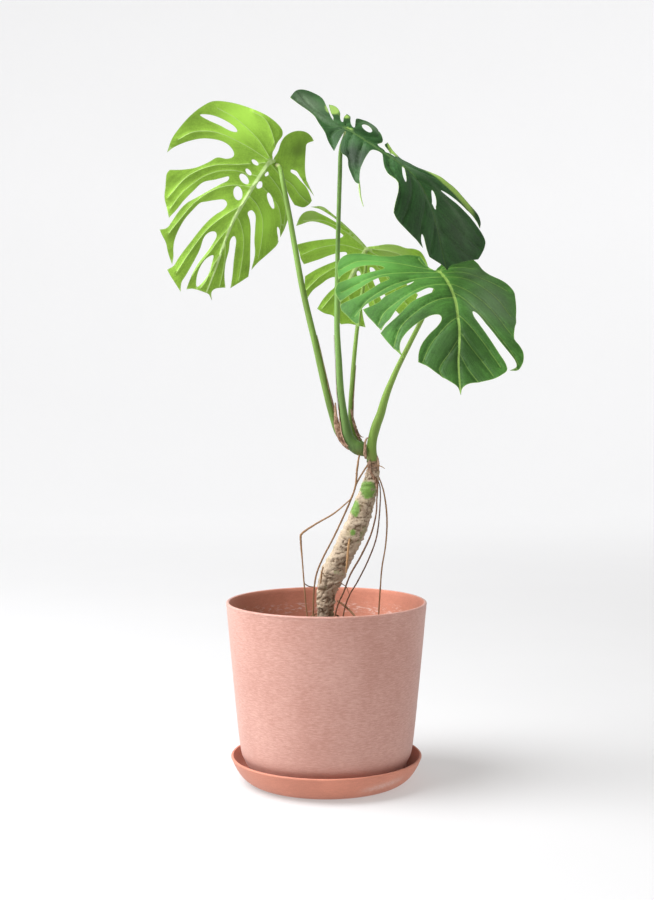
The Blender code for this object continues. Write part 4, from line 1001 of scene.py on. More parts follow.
class MONSTERA_OT_stem(bpy.types.Operator):
    """Build the woody stem"""
    bl_idname = "monstera.stem"
    bl_label = "Stem"

    def execute(self, context):
        colours = context.scene.monstera_stem
        finish = Finish("stem_bark", Specular_IOR_Level=0.25)
        coarse = finish.grain(210.0, (0.7, 0.7, 1.1), 6.0, 0.7)
        streaks = finish.grain(260.0, (0.45, 0.45, 1.4), 6.0, 0.7)
        specks = finish.grain(1100.0, detail=3.0)
        # The raised reading darkens the bark's hollows: partly darker bark in the cracks, partly
        # painted shade.
        share = finish.step(coarse * 0.35 + streaks * 0.45 + finish.reading("raised") * 0.20,
                            0.16, 0.52)
        colour = finish.tint(share, tuple(colours.bark_dark), tuple(colours.bark_light))
        colour = finish.tint(finish.step(specks, 0.58, 0.70) * 0.45, colour, (0.075, 0.05, 0.032))
        olive = finish.step(finish.grain(42.0, detail=3.0), 0.50, 0.72) * 0.5
        colour = finish.tint(olive, colour, (0.30, 0.245, 0.095))
        moss = finish.step(finish.grain(75.0, (1, 1, 0.6), 4.0), 0.60, 0.72)
        colour = finish.tint(moss * 0.55, colour, (0.20, 0.25, 0.085))
        bare = finish.reading("bare")
        patch = finish.tint(finish.step(streaks, 0.35, 0.75), scaled(colours.bare, 0.72),
                            scaled(colours.bare, 1.15))
        colour = finish.tint(bare, colour, patch)
        neck = finish.step(finish.height(), 0.372, 0.386)
        brown = finish.tint(finish.step(streaks, 0.40, 0.62), (0.085, 0.042, 0.024),
                            (0.40, 0.235, 0.15))
        colour = finish.tint(neck * 0.85, colour, brown)
        green_top = finish.step(finish.height(), 0.386, 0.397)
        colour = finish.tint(green_top * 0.85, colour, (0.09, 0.13, 0.035))
        # Darker towards the stem's foot, from about 228 mm down to 192 mm.
        stem_foot_dark = 1 - finish.step(finish.height() + coarse * 0.02, 0.192, 0.228)
        colour = finish.tint(stem_foot_dark * 0.8, colour, (0.050, 0.034, 0.024))
        finish.colour(colour)
        finish.rough(0.86 - bare * 0.35 - specks * 0.1)
        finish.bump(coarse * 0.6 + streaks * 0.6 + specks * 0.25, 0.0011, 0.75)
        line = route_line(STEM_ROUTE, STEM_STEP)
        verts, faces = tube(line, STEM_SIDES, stem_relief)
        nearest = np.array([np.argmin(abs(line[:, 2] - vert[2])) for vert in verts])
        out = np.linalg.norm((verts - line[nearest, :3])[:, :2], axis=1)
        raised = np.clip((out - line[nearest, 3]) / 0.0012, -1, 1)
        bare_now = [max(patch_cover(*(vert / MM), patch) for patch in GREEN_PATCHES)
                    for vert in verts]
        add_piece("woody_stem", verts, faces, [finish], ["stem"],
                  {"raised": raised, "bare": bare_now})
        return {"FINISHED"}


# --- husks ---------------------------------------------------------------------------------------
HUSKS = {   # stalk, CAD node, lowest and highest height, facing, half width (degrees), gap
    "husk_left": ("stalk_left", "sheath_left", 410, 545, 12, 62, 0.9),
    "husk_centre": ("stalk_centre", "sheath_centre", 412, 545, 180, 55, 0.9),
    "husk_back": ("stalk_back", "sheath_back", 414, 508, 10, 78, 0.9),
}
SHARDS = {  # torn dry pieces about the crown: (x, y, z, half width) in millimetres
    "crown_shard": [(47.5, -12.0, 394, 1.0), (46.7, -13.2, 400, 2.0), (46.7, -13.0, 408, 1.7),
                    (47.0, -10.0, 415, 1.4), (49.5, -8.5, 419.5, 1.2), (52.5, -8.0, 420.5, 0.4)],
    "crown_strip": [(10.8, -1.0, 462, 0.5), (11.2, -2.5, 450, 1.6), (11.6, -4.0, 438, 2.6),
                    (13.8, -5.5, 428, 3.2), (17.0, -7.5, 418, 3.0), (21.8, -10.0, 410.5, 2.2),
                    (27.0, -11.5, 405.0, 0.6)],
    "crown_curl": [(30.0, 11.0, 454, 0.5), (32.0, 9.0, 444, 1.2), (34.6, 6.0, 434, 1.7),
                   (38.0, 4.0, 425, 1.6), (42.0, 2.0, 420.5, 1.1), (45.0, -2.0, 420, 0.4)],
    "neck_strip": [(52.5, -7.6, 393, 0.6), (52.0, -8.8, 386, 1.8), (53.5, -9.2, 379, 1.4),
                   (56.5, -9.6, 373, 1.8), (60.0, -9.4, 366, 1.5), (61.0, -10.0, 358, 0.5)],
    "neck_shard": [(61.5, -6.0, 379, 0.6), (62.8, -6.2, 386, 1.6), (62.6, -6.0, 393, 1.2),
                   (61.5, -6.6, 398, 0.4)],
}
HUSK_THICK = 0.00035
HUSK_COLUMNS = 15
HUSK_STEP = 0.002
SHARD_COLUMNS = 7
SHARD_STEP = 0.001


def husk_finish():
    """Dry, papery brown with long fibres, greener higher up."""
    finish = Finish("dry_husk", Specular_IOR_Level=0.3)
    fibres = finish.grain(800.0, (1, 1, 0.16), 4.0, 0.65)
    blotches = finish.grain(160.0, detail=4.0)
    colour = finish.tint(finish.step(fibres * 0.6 + blotches * 0.4, 0.40, 0.62),
                         (0.115, 0.050, 0.026), (0.52, 0.35, 0.24))
    colour = finish.tint(finish.step(finish.height(), 0.455, 0.520) * 0.75, colour,
                         (0.30, 0.32, 0.12))
    finish.colour(colour)
    finish.rough(0.68 + blotches * 0.15)
    finish.bump(fibres, 0.0008, 0.6)
    return finish


def strip_shell(rows, thick):
    """A thin closed sheet from rows of points, given thickness away from each row's inside."""
    rows = np.array(rows)
    along = np.gradient(rows, axis=0)
    across = np.gradient(rows, axis=1)
    outward = np.cross(along, across)
    outward /= np.linalg.norm(outward, axis=2)[..., None] + 1e-12
    count, width = rows.shape[:2]
    verts = np.vstack([rows.reshape(-1, 3), (rows + outward * thick).reshape(-1, 3)])
    other = count * width
    faces = []
    for i in range(count - 1):
        for k in range(width - 1):
            a, b = i * width + k, (i + 1) * width + k
            faces.append((a, a + 1, b + 1, b))
            faces.append((other + a, other + b, other + b + 1, other + a + 1))
    ring = list(range(width))
    ring += [i * width + width - 1 for i in range(1, count)]
    ring += [(count - 1) * width + k for k in range(width - 2, -1, -1)]
    ring += [i * width for i in range(count - 2, 0, -1)]
    for first, second in zip(ring, ring[1:] + ring[:1]):
        faces.append((second, first, other + first, other + second))
    return verts, faces


class MONSTERA_OT_husks(bpy.types.Operator):
    """Build the dry husks round the stalks' feet"""
    bl_idname = "monstera.husks"
    bl_label = "Husks"

    def execute(self, context):
        finish = husk_finish()
        for name, (stalk, node, low, high, facing, half_width, gap) in HUSKS.items():
            line = route_line(STALKS[stalk][3], HUSK_STEP)
            line = line[(line[:, 2] > low * MM) & (line[:, 2] < high * MM)]
            across, beyond = frames_along(line[:, :3])
            rows = []
            for row, (station, side, other) in enumerate(zip(line, across, beyond)):
                share = row / (len(line) - 1)
                flip = 1.0 if side[0] > 0 else -1.0
                width = half_width * (1 - 0.85 * share ** 0.7)
                ragged = 8 * noise.noise(Vector((row * 0.21, half_width, 0.5)))
                ring = []
                for part in np.linspace(-1, 1, HUSK_COLUMNS):
                    turn = math.radians(facing + part * (width + ragged))
                    curl = 0.9 * MM * part ** 4 * (1 - share)
                    wrinkle = 0.25 * MM * noise.noise(Vector((part * 4, row * 0.15, 2.0)))
                    reach = station[3] + gap * MM * 0.4 + curl + wrinkle * 0.6
                    ring.append(station[:3] + reach * (math.cos(turn) * side * flip
                                                       + math.sin(turn) * other))
                rows.append(ring)
            verts, faces = strip_shell(rows, HUSK_THICK)
            add_piece(name, verts, faces, [finish], [node])
        for name, route in SHARDS.items():
            line = route_line(route, SHARD_STEP)
            rows = []
            for row, station in enumerate(line):
                ring = []
                for part in np.linspace(-1, 1, SHARD_COLUMNS):
                    jag = 1 + 0.3 * noise.noise(Vector((row * 0.5, part, 3.0)))
                    ring.append(station[:3] + np.array((part * station[3] * jag,
                                                        0.6 * MM * part ** 2, 0.0)))
                rows.append(ring)
            verts, faces = strip_shell(rows, HUSK_THICK)
            add_piece(name, verts, faces, [finish])
        return {"FINISHED"}


# --- roots ---------------------------------------------------------------------------------------
SOIL_TOP = SOIL_HIGH.z
GROUND = SOIL_TOP / MM - 3      # roots end this far down in the compost, in millimetres
ROOTS = {   # routes of (x, y, z, radius) in millimetres
    "aerial_root_left": [
        (41, -7, 401, 1.0), (39, -9, 394, 1.3), (37, -12, 380, 1.5), (35, -14, 361, 1.3),
        (29, -15, 344, 1.3),
        (19, -16, 321, 1.3), (8, -17, 298, 1.2), (-4, -18, 275, 1.2), (-12, -18, 255, 1.2),
        (-15, -17, 235, 1.1), (-16, -16, 210, 1.1), (-17, -16, 190, 1.1), (-18, -17, GROUND, 1.1)],
    "aerial_root_knee": [
        (29.5, -15.5, 346, 0.8), (24, -18, 341, 0.9), (8, -20, 328, 1.1), (-13, -21, 316, 1.2),
        (-29, -22, 305, 1.5),
        (-31, -22, 298, 1.5), (-29, -22, 271, 1.0), (-27, -22, 245, 1.0), (-25, -22, 221, 0.9),
        (-23, -22, 200, 0.9), (-22, -22, GROUND, 0.9)],
    "aerial_root_front": [
        (57, -4, 376, 0.9), (62, -8, 367, 0.9), (62, -11, 356, 0.9), (61, -13, 345, 1.0),
        (60, -17, 328, 1.1), (54, -19, 304, 1.2),
        (42, -21, 278, 1.3), (29, -21, 255, 1.2), (21, -21, 234, 1.1), (14, -19, 218, 1.0),
        (10, -18, 200, 0.9), (8, -20, GROUND, 0.9)],
    "aerial_root_slant": [
        (60, -3, 371, 0.8), (65, -5, 360, 0.8), (65, -7, 335, 0.9), (61, -10, 300, 1.0),
        (51, -13, 272, 1.0),
        (38, -15, 246, 1.0), (29, -16, 231, 0.9), (23, -17, 216, 0.9), (19, -19, 195, 0.9),
        (18, -21, GROUND, 0.9)],
    "aerial_root_right": [
        (58, -2, 380, 0.9), (63, -1, 373, 0.9), (67, 1, 363, 0.9), (70, 2, 353, 1.0),
        (73, 2, 334, 1.1), (74, 2, 311, 1.1),
        (72, 2, 285, 1.0), (68, 1, 261, 1.0), (66, 0, 237, 1.0), (64, 0, 203, 1.0),
        (63, 0, GROUND, 1.0)],
    "root_stub_front": [(28, -16, 298, 1.2), (26.5, -18, 287, 1.6), (25, -18, 270, 1.5),
                        (24, -17, 256, 1.0)],
    "root_stub_left": [(-4, -16, 264, 0.9), (-6, -18, 254, 1.2), (-7, -18, 243, 1.0)],
    "surface_root_front": [(13, -8, 221, 1.3), (21, -11, 216, 1.4), (31, -20, 208, 1.4),
                           (43, -31, 192, 1.3), (50, -38, GROUND, 1.1)],
    "surface_root_right": [(12, 4, 202, 1.3), (22, 3, 194, 1.5), (32, 2, 184, 1.5),
                           (39, 1, GROUND, 1.3)],
    "surface_root_left": [(-14, 4, 201, 1.3), (-24, 7, 193, 1.5), (-33, 10, 183, 1.5),
                          (-39, 12, GROUND, 1.3)],
}
FINE_ROOTS = {
    "link_root": [(-27, -20, 244, 0.7), (-21, -18, 240, 0.8), (-15, -17, 239, 0.7)],
    "neck_root": [(54, -4, 391, 1.0), (49, -8, 385, 1.2), (40, -12, 371, 1.1), (35, -14, 361, 1.0)],
    "neck_fibre": [(62, -6, 386, 0.5), (67, -7, 384.5, 0.6), (71, -7, 382, 0.35)],
    "stem_fibre_low": [(15, -13, 245, 0.6), (24, -16, 239, 0.6), (27, -17, 231, 0.4)],
    "pot_root_back": [(-10, 6, 200, 0.8), (-20, 20, 195, 0.8), (-33, 38, GROUND, 0.7)],
    "pot_root_left": [(-12, -4, 205, 0.9), (-22, -10, 200, 0.9), (-36, -20, 190, 0.8),
                      (-44, -27, GROUND, 0.7)],
}
PALE_ROOTS = {"aerial_root_left": 0.45, "aerial_root_knee": 0.55, "aerial_root_right": 0.6,
              "aerial_root_front": 0.1, "aerial_root_slant": 0.05, "root_stub_front": 1.0,
              "root_stub_left": 0.5, "neck_root": 0.5, "neck_fibre": 0.7}
ROOT_SIDES = 12
ROOT_STEP = 0.0016
ROOT_SLIM = 0.88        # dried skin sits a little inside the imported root


def root_relief(point, outward, radius):
    """Small knuckles and kinks along a root."""
    return 0.22 * radius * rippled(point, 700, 2)


class MONSTERA_OT_roots(bpy.types.Operator):
    """Build the hanging roots and the roots on the compost"""
    bl_idname = "monstera.roots"
    bl_label = "Roots"

    def execute(self, context):
        dark = tuple(context.scene.monstera_stem.root)
        finish = Finish("root_skin", Specular_IOR_Level=0.3)
        patches = finish.grain(140.0, detail=4.0)
        rings = finish.grain(900.0, (0.4, 0.4, 1), 3.0)
        colour = finish.tint(finish.step(patches * 0.6 + rings * 0.4, 0.40, 0.72),
                             dark, scaled(dark, 2.0, 0.005))
        pale = finish.reading("pale") * (0.6 + patches * 0.7)
        colour = finish.tint(pale, colour, (0.46, 0.27, 0.13))
        finish.colour(colour)
        finish.rough(0.75 + rings * 0.15)
        finish.bump(rings + patches * 0.4, 0.0007, 0.5)
        for name, route in {**ROOTS, **FINE_ROOTS}.items():
            line = route_line(route, ROOT_STEP)
            line[:, 3] *= ROOT_SLIM
            verts, faces = tube(line, ROOT_SIDES, root_relief)
            replaced = [name] if name in ROOTS else []
            pale = np.full(len(verts), PALE_ROOTS.get(name, 0.3))
            add_piece("hanging_" + name if replaced else name, verts, faces, [finish],
                      replaced, {"pale": pale})
        return {"FINISHED"}


# --- pot, saucer and compost -------------------------------------------------------------------
POT_RIM = POT_HIGH.z
POT_RADIUS = POT_HIGH.x
POT_BASE = POT_LOW.z
POT_WALL = 0.004
POT_FLOOR = 0.0129      # height of the pot's inside floor
DRAIN_RADIUS = 0.010
SHOULDER_RADIUS = 0.106     # outside, where the rounded foot meets the straight wall
SHOULDER_HEIGHT = 0.046
SAUCER_RIM = SAUCER_HIGH.z
SAUCER_RADIUS = SAUCER_HIGH.x
SAUCER_WALL = 0.0034
SAUCER_FLOOR = 0.0045
POTTERY_SIDES = 192
SCUFF_TURN = -52        # the saucer's rubbed place: its turn and half width, in degrees
SCUFF_WIDE = 15
SCUFF_HEIGHT = 0.0165   # its middle, how it climbs with each degree, and its half height
SCUFF_SLOPE = 0.00018
SCUFF_TALL = 0.0042


def pot_inner_radius(height):
    """The pot's inside radius above its shoulder."""
    share = (height - SHOULDER_HEIGHT) / (POT_RIM - SHOULDER_HEIGHT)
    return SHOULDER_RADIUS + share * (POT_RADIUS - SHOULDER_RADIUS) - POT_WALL


def softened(points, step):
    """A profile's smooth run through its points, evenly sampled."""
    line = smooth_line([(radius, height, 0) for radius, height in points], step)
    return [(point[0], point[1]) for point in line]


def pot_profile():
    """The pot's outline: foot, rounded shoulder, straight flared wall, round lip, inside."""
    lip = POT_WALL / 2
    outside = softened([(0.079, POT_BASE), (0.0865, 0.0085), (0.0945, 0.0165), (0.1005, 0.0270),
                        (SHOULDER_RADIUS, SHOULDER_HEIGHT), (0.1140, 0.1250),
                        (POT_RADIUS - 0.0002, POT_RIM - lip * 1.2)], 0.0030)
    rim = arc((POT_RADIUS - lip, POT_RIM - lip), lip, 0, 180, 13)
    wall = [(pot_inner_radius(height), height)
            for height in (POT_RIM - lip * 1.2, 0.125, SHOULDER_HEIGHT)]
    inside = softened([*wall, (0.0955, 0.0290), (0.0880, 0.0190), (0.0780, POT_FLOOR)], 0.0035)
    return [*outside, *rim, *inside, (DRAIN_RADIUS, POT_FLOOR), (DRAIN_RADIUS, POT_BASE)]


def saucer_profile():
    """The saucer's outline: flat foot, curved wall, round lip and flat floor."""
    lip = SAUCER_WALL / 2
    top = (SAUCER_RADIUS, SAUCER_RIM - lip)
    outside = softened([(0.088, 0.0), (0.0965, 0.0028), (0.1035, 0.0078), (0.1090, 0.0145),
                        (0.1135, 0.0225), top], 0.0015)
    rim = arc((SAUCER_RADIUS - lip, SAUCER_RIM - lip), lip, 0, 180, 13)[1:]
    inside = softened([(SAUCER_RADIUS - SAUCER_WALL, SAUCER_RIM - lip), (0.1098, 0.0225),
                       (0.1052, 0.0150), (0.0995, 0.0092), (0.0930, 0.0058),
                       (0.084, SAUCER_FLOOR)], 0.0018)[1:]
    return [*outside, *rim, *inside, (0, SAUCER_FLOOR), (0, 0)]


def thrown(turn, height):
    """Faint throwing rings and slow unevenness of a wall."""
    place = Vector((math.cos(turn) * 1.6, math.sin(turn) * 1.6, height * 420))
    return 0.00010 * noise.noise(place) + 0.00006 * noise.noise(place * 2.7)


class PotterySettings(bpy.types.PropertyGroup):
    """Colours of the pot, the saucer and the compost."""
    clay: shade("Pot", "Dusty clay of the pot's outside", (0.51, 0.230, 0.172))
    bloom: shade("Bloom", "Pale mineral bloom on the clay", (0.63, 0.350, 0.288))
    saucer: shade("Saucer", "Clay of the saucer and the pot's inside", (0.56, 0.196, 0.118))
    compost: shade("Compost", "Dark growing mix", (0.032, 0.021, 0.015))


def clay_finish(name, body, bloom, rings, brushed):
    """Unglazed clay: fine turned scratches, speckle and pale bloom."""
    finish = Finish(name, Specular_IOR_Level=0.75, Sheen_Weight=0.10, Sheen_Roughness=0.6)
    brush = finish.grain(150.0, (1, 1, rings), 4.0, 0.6)
    cloud = finish.grain(14.0, (1, 1, 0.7), 5.0)
    speck = finish.grain(1300.0, detail=2.0)
    pits = finish.grain(420.0, detail=2.0)
    colour = finish.tint(finish.step(brush * brushed + cloud * (1 - brushed), 0.34, 0.70),
                         scaled(body, 0.90), bloom)
    colour = finish.tint(finish.step(speck, 0.56, 0.72) * 0.30, colour, scaled(body, 0.55))
    colour = finish.tint(finish.step(speck, 0.44, 0.30) * 0.35, colour, scaled(bloom, 1.15))
    return finish, colour, brush, cloud, speck, pits


class MONSTERA_OT_pottery(bpy.types.Operator):
    """Turn the pot and its saucer"""
    bl_idname = "monstera.pottery"
    bl_label = "Pot and saucer"

    def execute(self, context):
        clay = context.scene.monstera_pottery
        finish, colour, brush, cloud, speck, pits = clay_finish(
            "pot_outside", tuple(clay.clay), tuple(clay.bloom), 6.0, 0.62)
        # Painted light: the clay lightens towards its foot in the bloom colour, a painted bounce
        # from the saucer and the floor.
        foot = 1 - finish.step(finish.height() + cloud * 0.016, 0.030, 0.078)
        colour = finish.tint(foot * 0.45, colour, scaled(clay.bloom, 1.08))
        finish.colour(colour)
        finish.rough(0.48 + brush * 0.16)
        finish.bump(brush * 0.7 + speck * 0.3 + pits * 0.3, 0.00035, 0.8)

        inner, colour, brush, cloud, speck, pits = clay_finish(
            "pot_inside", tuple(clay.saucer), scaled(clay.saucer, 1.12, 0.03), 3.0, 0.3)
        height = inner.height() + cloud * 0.010 + pits * 0.003
        band = inner.step(height, 0.190, 0.198) * (1 - inner.step(height, 0.201, 0.212))
        crust = inner.step(inner.grain(300.0, (0.5, 0.5, 1.6), 5.0, 0.65), 0.50, 0.64)
        colour = inner.tint(band * crust * 0.6, colour, (0.80, 0.60, 0.53))
        damp = 1 - inner.step(height, 0.176, 0.186)
        colour = inner.tint(damp * 0.7, colour, (0.16, 0.08, 0.055))
        inner.colour(colour)
        inner.rough(0.82 + speck * 0.1)
        inner.bump(cloud * 0.3 + speck * 0.3 + pits * 0.3, 0.00035, 0.6)
        profile = pot_profile()
        verts, faces = turned(profile, POTTERY_SIDES, thrown)
        rim_row = max(range(len(profile)), key=lambda row: profile[row][1])
        kinds = [0 if 0 <= k // POTTERY_SIDES < rim_row + 3 else 1 for k in range(len(faces))]
        add_piece("clay_pot", verts, faces, [finish, inner], ["pot"], None, kinds)

        dish, colour, brush, cloud, speck, pits = clay_finish(
            "saucer_clay", tuple(clay.saucer), scaled(clay.saucer, 1.12, 0.02), 5.0, 0.35)
        scuff = dish.reading("scuff") * (0.45 + dish.step(pits, 0.35, 0.65) * 0.6)
        colour = dish.tint(scuff * 0.6, colour, (0.66, 0.47, 0.41))
        dish.colour(colour)
        dish.rough(0.62 + cloud * 0.2)
        dish.bump(brush * 0.4 + speck * 0.3 + pits * 0.2, 0.00030, 0.6)
        verts, faces = turned(saucer_profile(), POTTERY_SIDES, thrown)
        turns = np.degrees(np.arctan2(verts[:, 1], verts[:, 0]))
        rise = (verts[:, 2] - SCUFF_HEIGHT - SCUFF_SLOPE * (turns + 50)) / SCUFF_TALL
        worn = np.exp(-((turns - SCUFF_TURN) / SCUFF_WIDE) ** 4 - rise ** 2)
        add_piece("clay_saucer", verts, faces, [dish], ["saucer"], {"scuff": worn})
        return {"FINISHED"}


COMPOST_BASE = SOIL_LOW.z + 0.012
COMPOST_RINGS = 52
COMPOST_SIDES = 180
CHIP_COUNT = 150
GRIT_COUNT = 70


def compost_height(x, y):
    """The lumpy top of the compost, higher about the stem."""
    away = math.hypot(x, y)
    place = Vector((x, y, 0.0))
    lumps = 0.0022 * rippled(place, 95, 4) + 0.0010 * abs(rippled(place, 420, 3))
    return SOIL_TOP - 0.0030 + lumps + 0.0030 * math.exp(-(away / 0.03) ** 2)


class MONSTERA_OT_compost(bpy.types.Operator):
    """Fill the pot with compost, bark chips and grit"""
    bl_idname = "monstera.compost"
    bl_label = "Compost"

    def execute(self, context):
        base = tuple(context.scene.monstera_pottery.compost)
        finish = Finish("compost_mix", Specular_IOR_Level=0.2)
        crumbs = finish.cells(420.0)
        damp = finish.grain(60.0, detail=4.0)
        fine = finish.grain(900.0, detail=3.0)
        colour = finish.tint(finish.step(fine * 0.6 + damp * 0.5, 0.42, 0.75),
                             base, scaled(base, 3.4, 0.01))
        finish.colour(colour)
        finish.rough(0.85 + damp * 0.12)
        finish.bump(crumbs * 0.7 + fine * 0.4, 0.0012, 0.9)
        verts = [(0.0, 0.0, compost_height(0, 0))]
        edge = pot_inner_radius(SOIL_TOP) - 0.0002
        for ring in range(1, COMPOST_RINGS + 1):
            radius = edge * ring / COMPOST_RINGS
            for turn in np.arange(COMPOST_SIDES) * math.tau / COMPOST_SIDES:
                x, y = radius * math.cos(turn), radius * math.sin(turn)
                verts.append((x, y, compost_height(x, y)))
        low = pot_inner_radius(COMPOST_BASE) - 0.0006
        for turn in np.arange(COMPOST_SIDES) * math.tau / COMPOST_SIDES:
            verts.append((low * math.cos(turn), low * math.sin(turn), COMPOST_BASE))
        verts.append((0.0, 0.0, COMPOST_BASE))
        faces = []
        for k in range(COMPOST_SIDES):
            after = (k + 1) % COMPOST_SIDES
            faces.append((0, 1 + k, 1 + after))
            for ring in range(COMPOST_RINGS):
                inner = 1 + ring * COMPOST_SIDES
                outer = inner + COMPOST_SIDES
                faces.append((inner + k, outer + k, outer + after, inner + after))
            last = 1 + COMPOST_RINGS * COMPOST_SIDES
            faces.append((last + k, len(verts) - 1, last + after))
        add_piece("compost", verts, faces, [finish], ["soil"])
        self.scatter("bark_chips", CHIP_COUNT, 11, (0.0016, 0.0050), 0.45, base)
        self.scatter("grit", GRIT_COUNT, 23, (0.0007, 0.0016), 0.85, base)
        return {"FINISHED"}

    def scatter(self, name, count, seed, sizes, flatness, base):
        """Loose angular crumbs lying in the compost's surface, joined into one piece."""
        finish = Finish(name + "_skin", Specular_IOR_Level=0.25)
        grain = finish.grain(520.0, detail=4.0)
        tone = finish.grain(75.0, detail=1.0)
        light = (0.20, 0.125, 0.075) if name == "bark_chips" else (0.42, 0.36, 0.29)
        finish.colour(finish.tint(finish.step(grain * 0.5 + tone * 0.6, 0.38, 0.74),
                                  scaled(base, 1.5), light))
        finish.rough(0.80 + grain * 0.12)
        finish.bump(grain, 0.0008, 0.7)
        draw = np.random.default_rng(seed)
        reach = pot_inner_radius(SOIL_TOP) - 0.009
        verts = []
        faces = []
        for _ in range(count):
            away = reach * math.sqrt(draw.uniform(0.02, 1.0))
            turn = draw.uniform(0, math.tau)
            x, y = away * math.cos(turn), away * math.sin(turn)
            size = draw.uniform(*sizes)
            spin = draw.uniform(0, math.tau)
            centre = np.array((x, y, compost_height(x, y) + size * flatness * 0.3))
            shape = draw.uniform(0.7, 1.3, 8)
            start = len(verts)
            for k, (a, b, c) in enumerate(CHIP_CORNERS):
                long, wide = a * size * shape[k], b * size * 0.6 * shape[k]
                verts.append(centre + (long * math.cos(spin) - wide * math.sin(spin),
                                       long * math.sin(spin) + wide * math.cos(spin),
                                       c * size * flatness * 0.5 * shape[k]))
            faces.extend(tuple(start + k for k in face) for face in CHIP_FACES)
        piece = add_piece(name, verts, faces, [finish])
        rounded = piece.modifiers.new("rounded", "BEVEL")
        rounded.width = sizes[0] * 0.25
        rounded.segments = 2


CHIP_CORNERS = [(a, b, c) for a in (-1, 1) for b in (-1, 1) for c in (-1, 1)]
CHIP_FACES = [(0, 1, 3, 2), (4, 6, 7, 5), (0, 4, 5, 1), (2, 3, 7, 6), (0, 2, 6, 4), (1, 5, 7, 3)]


# --- stage ---------------------------------------------------------------------------------------
CAMERA_PLACE = (0.0007, -1.691, 0.478)
CAMERA_DOWN = 0.0435
CAMERA_LENS = 55.6
FLOOR_RADIUS = 3.6      # the flat floor, and the cove that curves up from it all round
COVE_RADIUS = 1.4
COVE_SIDES = 96
WALL_TOP = 4.2
FLOOR_GLOW = (0.38, 0.375, 0.37)
WALL_GLOW = (0.60, 0.60, 0.602)
GLOW_START = 0.6        # how far behind the plant the glow starts to rise to the wall's
KEY_POWER = 122.0
LAMPS = {   # place, aim, size, power, colour
    "key_lamp": ((-1.50, -0.45, 2.35), (0, 0, 0.30), 2.2, KEY_POWER, (0.985, 0.99, 1.0)),
    "side_lamp": ((-2.3, -0.20, 1.00), (0, 0, 0.35), 1.8, 20.0, (0.96, 0.98, 1.0)),
    "fill_lamp": ((1.2, -2.4, 0.9), (0, 0, 0.4), 1.8, 1.5, (1.0, 0.99, 0.98)),
}


class StageSettings(bpy.types.PropertyGroup):
    """Light on the plant."""
    key_power: FloatProperty(
        name="Key light", description="Strength of the light from the upper left",
        default=KEY_POWER, min=0, unit="POWER")
    world_light: FloatProperty(
        name="Room light", description="Strength of the even white light", default=0.22, min=0)


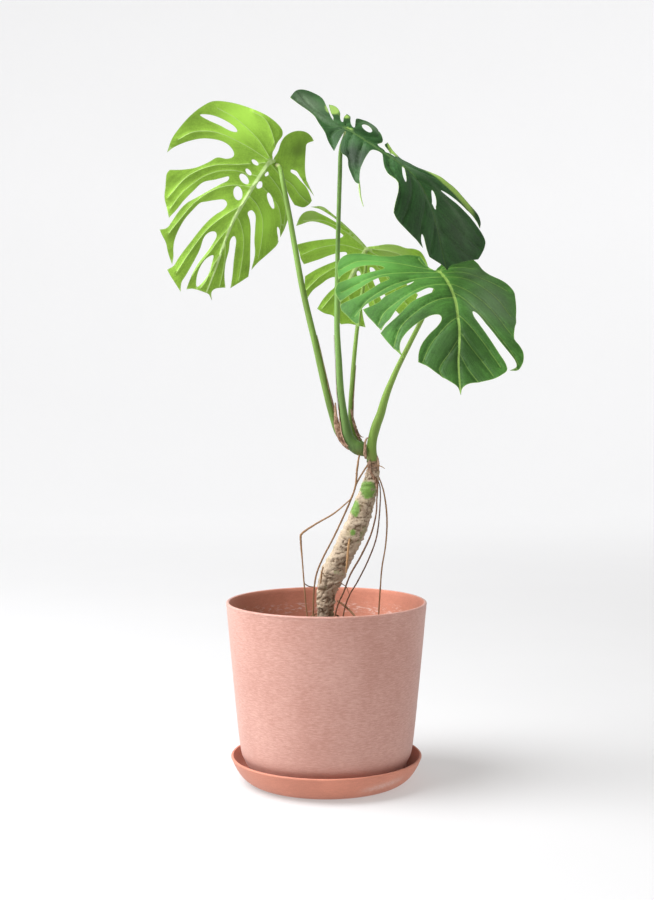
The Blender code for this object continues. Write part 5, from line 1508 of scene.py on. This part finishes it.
class MONSTERA_OT_stage(bpy.types.Operator):
    """Set the floor, the backdrop, the lights and the camera"""
    bl_idname = "monstera.stage"
    bl_label = "Stage"

    def execute(self, context):
        scene = context.scene
        settings = scene.monstera_stage
        paper = Finish("stage_paper", Specular_IOR_Level=0.1, Roughness=0.9,
                       Emission_Strength=1.0)
        mottle = paper.grain(3.0, detail=2.0)
        paper.colour(paper.tint(mottle, (0.40, 0.40, 0.405), (0.42, 0.42, 0.425)))
        away = paper.place_along(1)
        glow = paper.tint(paper.step(away, GLOW_START, FLOOR_RADIUS), FLOOR_GLOW, WALL_GLOW)
        paper.feed(paper.shader.inputs["Emission Color"], glow)
        run = [(0.0, 0.0), (0.8, 0.0), (1.6, 0.0), (2.4, 0.0), (FLOOR_RADIUS, 0.0)]
        for turn in np.linspace(0, math.pi / 2, 20)[1:]:
            run.append((FLOOR_RADIUS + COVE_RADIUS * math.sin(turn),
                        COVE_RADIUS * (1 - math.cos(turn))))
        run.append((FLOOR_RADIUS + COVE_RADIUS, WALL_TOP))
        verts, faces = turned(run, COVE_SIDES, None, False)
        mesh = bpy.data.meshes.new("sweep")
        mesh.from_pydata([tuple(vert) for vert in verts], [], faces)
        mesh.materials.append(paper.material)
        mesh.shade_smooth()
        sweep = bpy.data.objects.new("sweep", mesh)
        scene.collection.objects.link(sweep)
        world = bpy.data.worlds.new("room")
        world.use_nodes = True
        backlight = world.node_tree.nodes["Background"]
        backlight.inputs["Color"].default_value = (1.0, 1.0, 1.0, 1.0)
        backlight.inputs["Strength"].default_value = settings.world_light
        scene.world = world
        for name, (place, aim, size, power, colour) in LAMPS.items():
            lamp = bpy.data.lights.new(name, "AREA")
            lamp.shape = "DISK"
            lamp.size = size
            lamp.energy = settings.key_power if name == "key_lamp" else power
            lamp.color = colour
            holder = bpy.data.objects.new(name, lamp)
            holder.location = place
            direction = Vector(aim) - Vector(place)
            holder.rotation_euler = direction.to_track_quat("-Z", "Y").to_euler()
            scene.collection.objects.link(holder)
        lens = bpy.data.cameras.new("camera")
        lens.lens = CAMERA_LENS
        lens.sensor_width = 36.0
        camera = bpy.data.objects.new("camera", lens)
        camera.location = CAMERA_PLACE
        camera.rotation_euler = (math.pi / 2 - CAMERA_DOWN, 0, 0)
        scene.collection.objects.link(camera)
        bpy.context.scene.camera = camera
        scene.view_settings.view_transform = "Standard"
        return {"FINISHED"}


class MONSTERA_PT_panel(bpy.types.Panel):
    """The pieces of the potted plant"""
    bl_idname = "MONSTERA_PT_panel"
    bl_label = "Potted monstera"
    bl_space_type = "VIEW_3D"
    bl_region_type = "UI"
    bl_category = "Monstera"

    def draw(self, context):
        scene = context.scene
        for title, settings, operators in SECTIONS:
            box = self.layout.box()
            box.label(text=title)
            group = getattr(scene, settings)
            for key in type(group).__annotations__:
                box.prop(group, key)
            for operator in operators:
                box.operator(operator.bl_idname)


SECTIONS = [
    ("Pot and compost", "monstera_pottery", [MONSTERA_OT_pottery, MONSTERA_OT_compost]),
    ("Stem and roots", "monstera_stem", [MONSTERA_OT_stem, MONSTERA_OT_husks,
                                         MONSTERA_OT_roots]),
    ("Leaves and stalks", "monstera_leaves", [MONSTERA_OT_leaves, MONSTERA_OT_stalks]),
    ("Stage", "monstera_stage", [MONSTERA_OT_stage]),
]
SETTINGS = {
    "monstera_pottery": PotterySettings,
    "monstera_stem": StemSettings,
    "monstera_leaves": LeafSettings,
    "monstera_stage": StageSettings,
}


def register():
    """Add the settings, the operators and the panel to Blender."""
    for name, group in SETTINGS.items():
        bpy.utils.register_class(group)
        setattr(bpy.types.Scene, name, PointerProperty(type=group))
    for _, _, operators in SECTIONS:
        for operator in operators:
            bpy.utils.register_class(operator)
    bpy.utils.register_class(MONSTERA_PT_panel)


def unregister():
    """Take them away again."""
    bpy.utils.unregister_class(MONSTERA_PT_panel)
    for _, _, operators in reversed(SECTIONS):
        for operator in operators:
            bpy.utils.unregister_class(operator)
    for name, group in SETTINGS.items():
        delattr(bpy.types.Scene, name)
        bpy.utils.unregister_class(group)


def main():
    """Build everything."""
    register()
    bpy.ops.monstera.stage()
    bpy.ops.monstera.pottery()
    bpy.ops.monstera.compost()
    bpy.ops.monstera.stem()
    bpy.ops.monstera.husks()
    bpy.ops.monstera.roots()
    bpy.ops.monstera.leaves()
    bpy.ops.monstera.stalks()


if __name__ == "__main__":
    main()
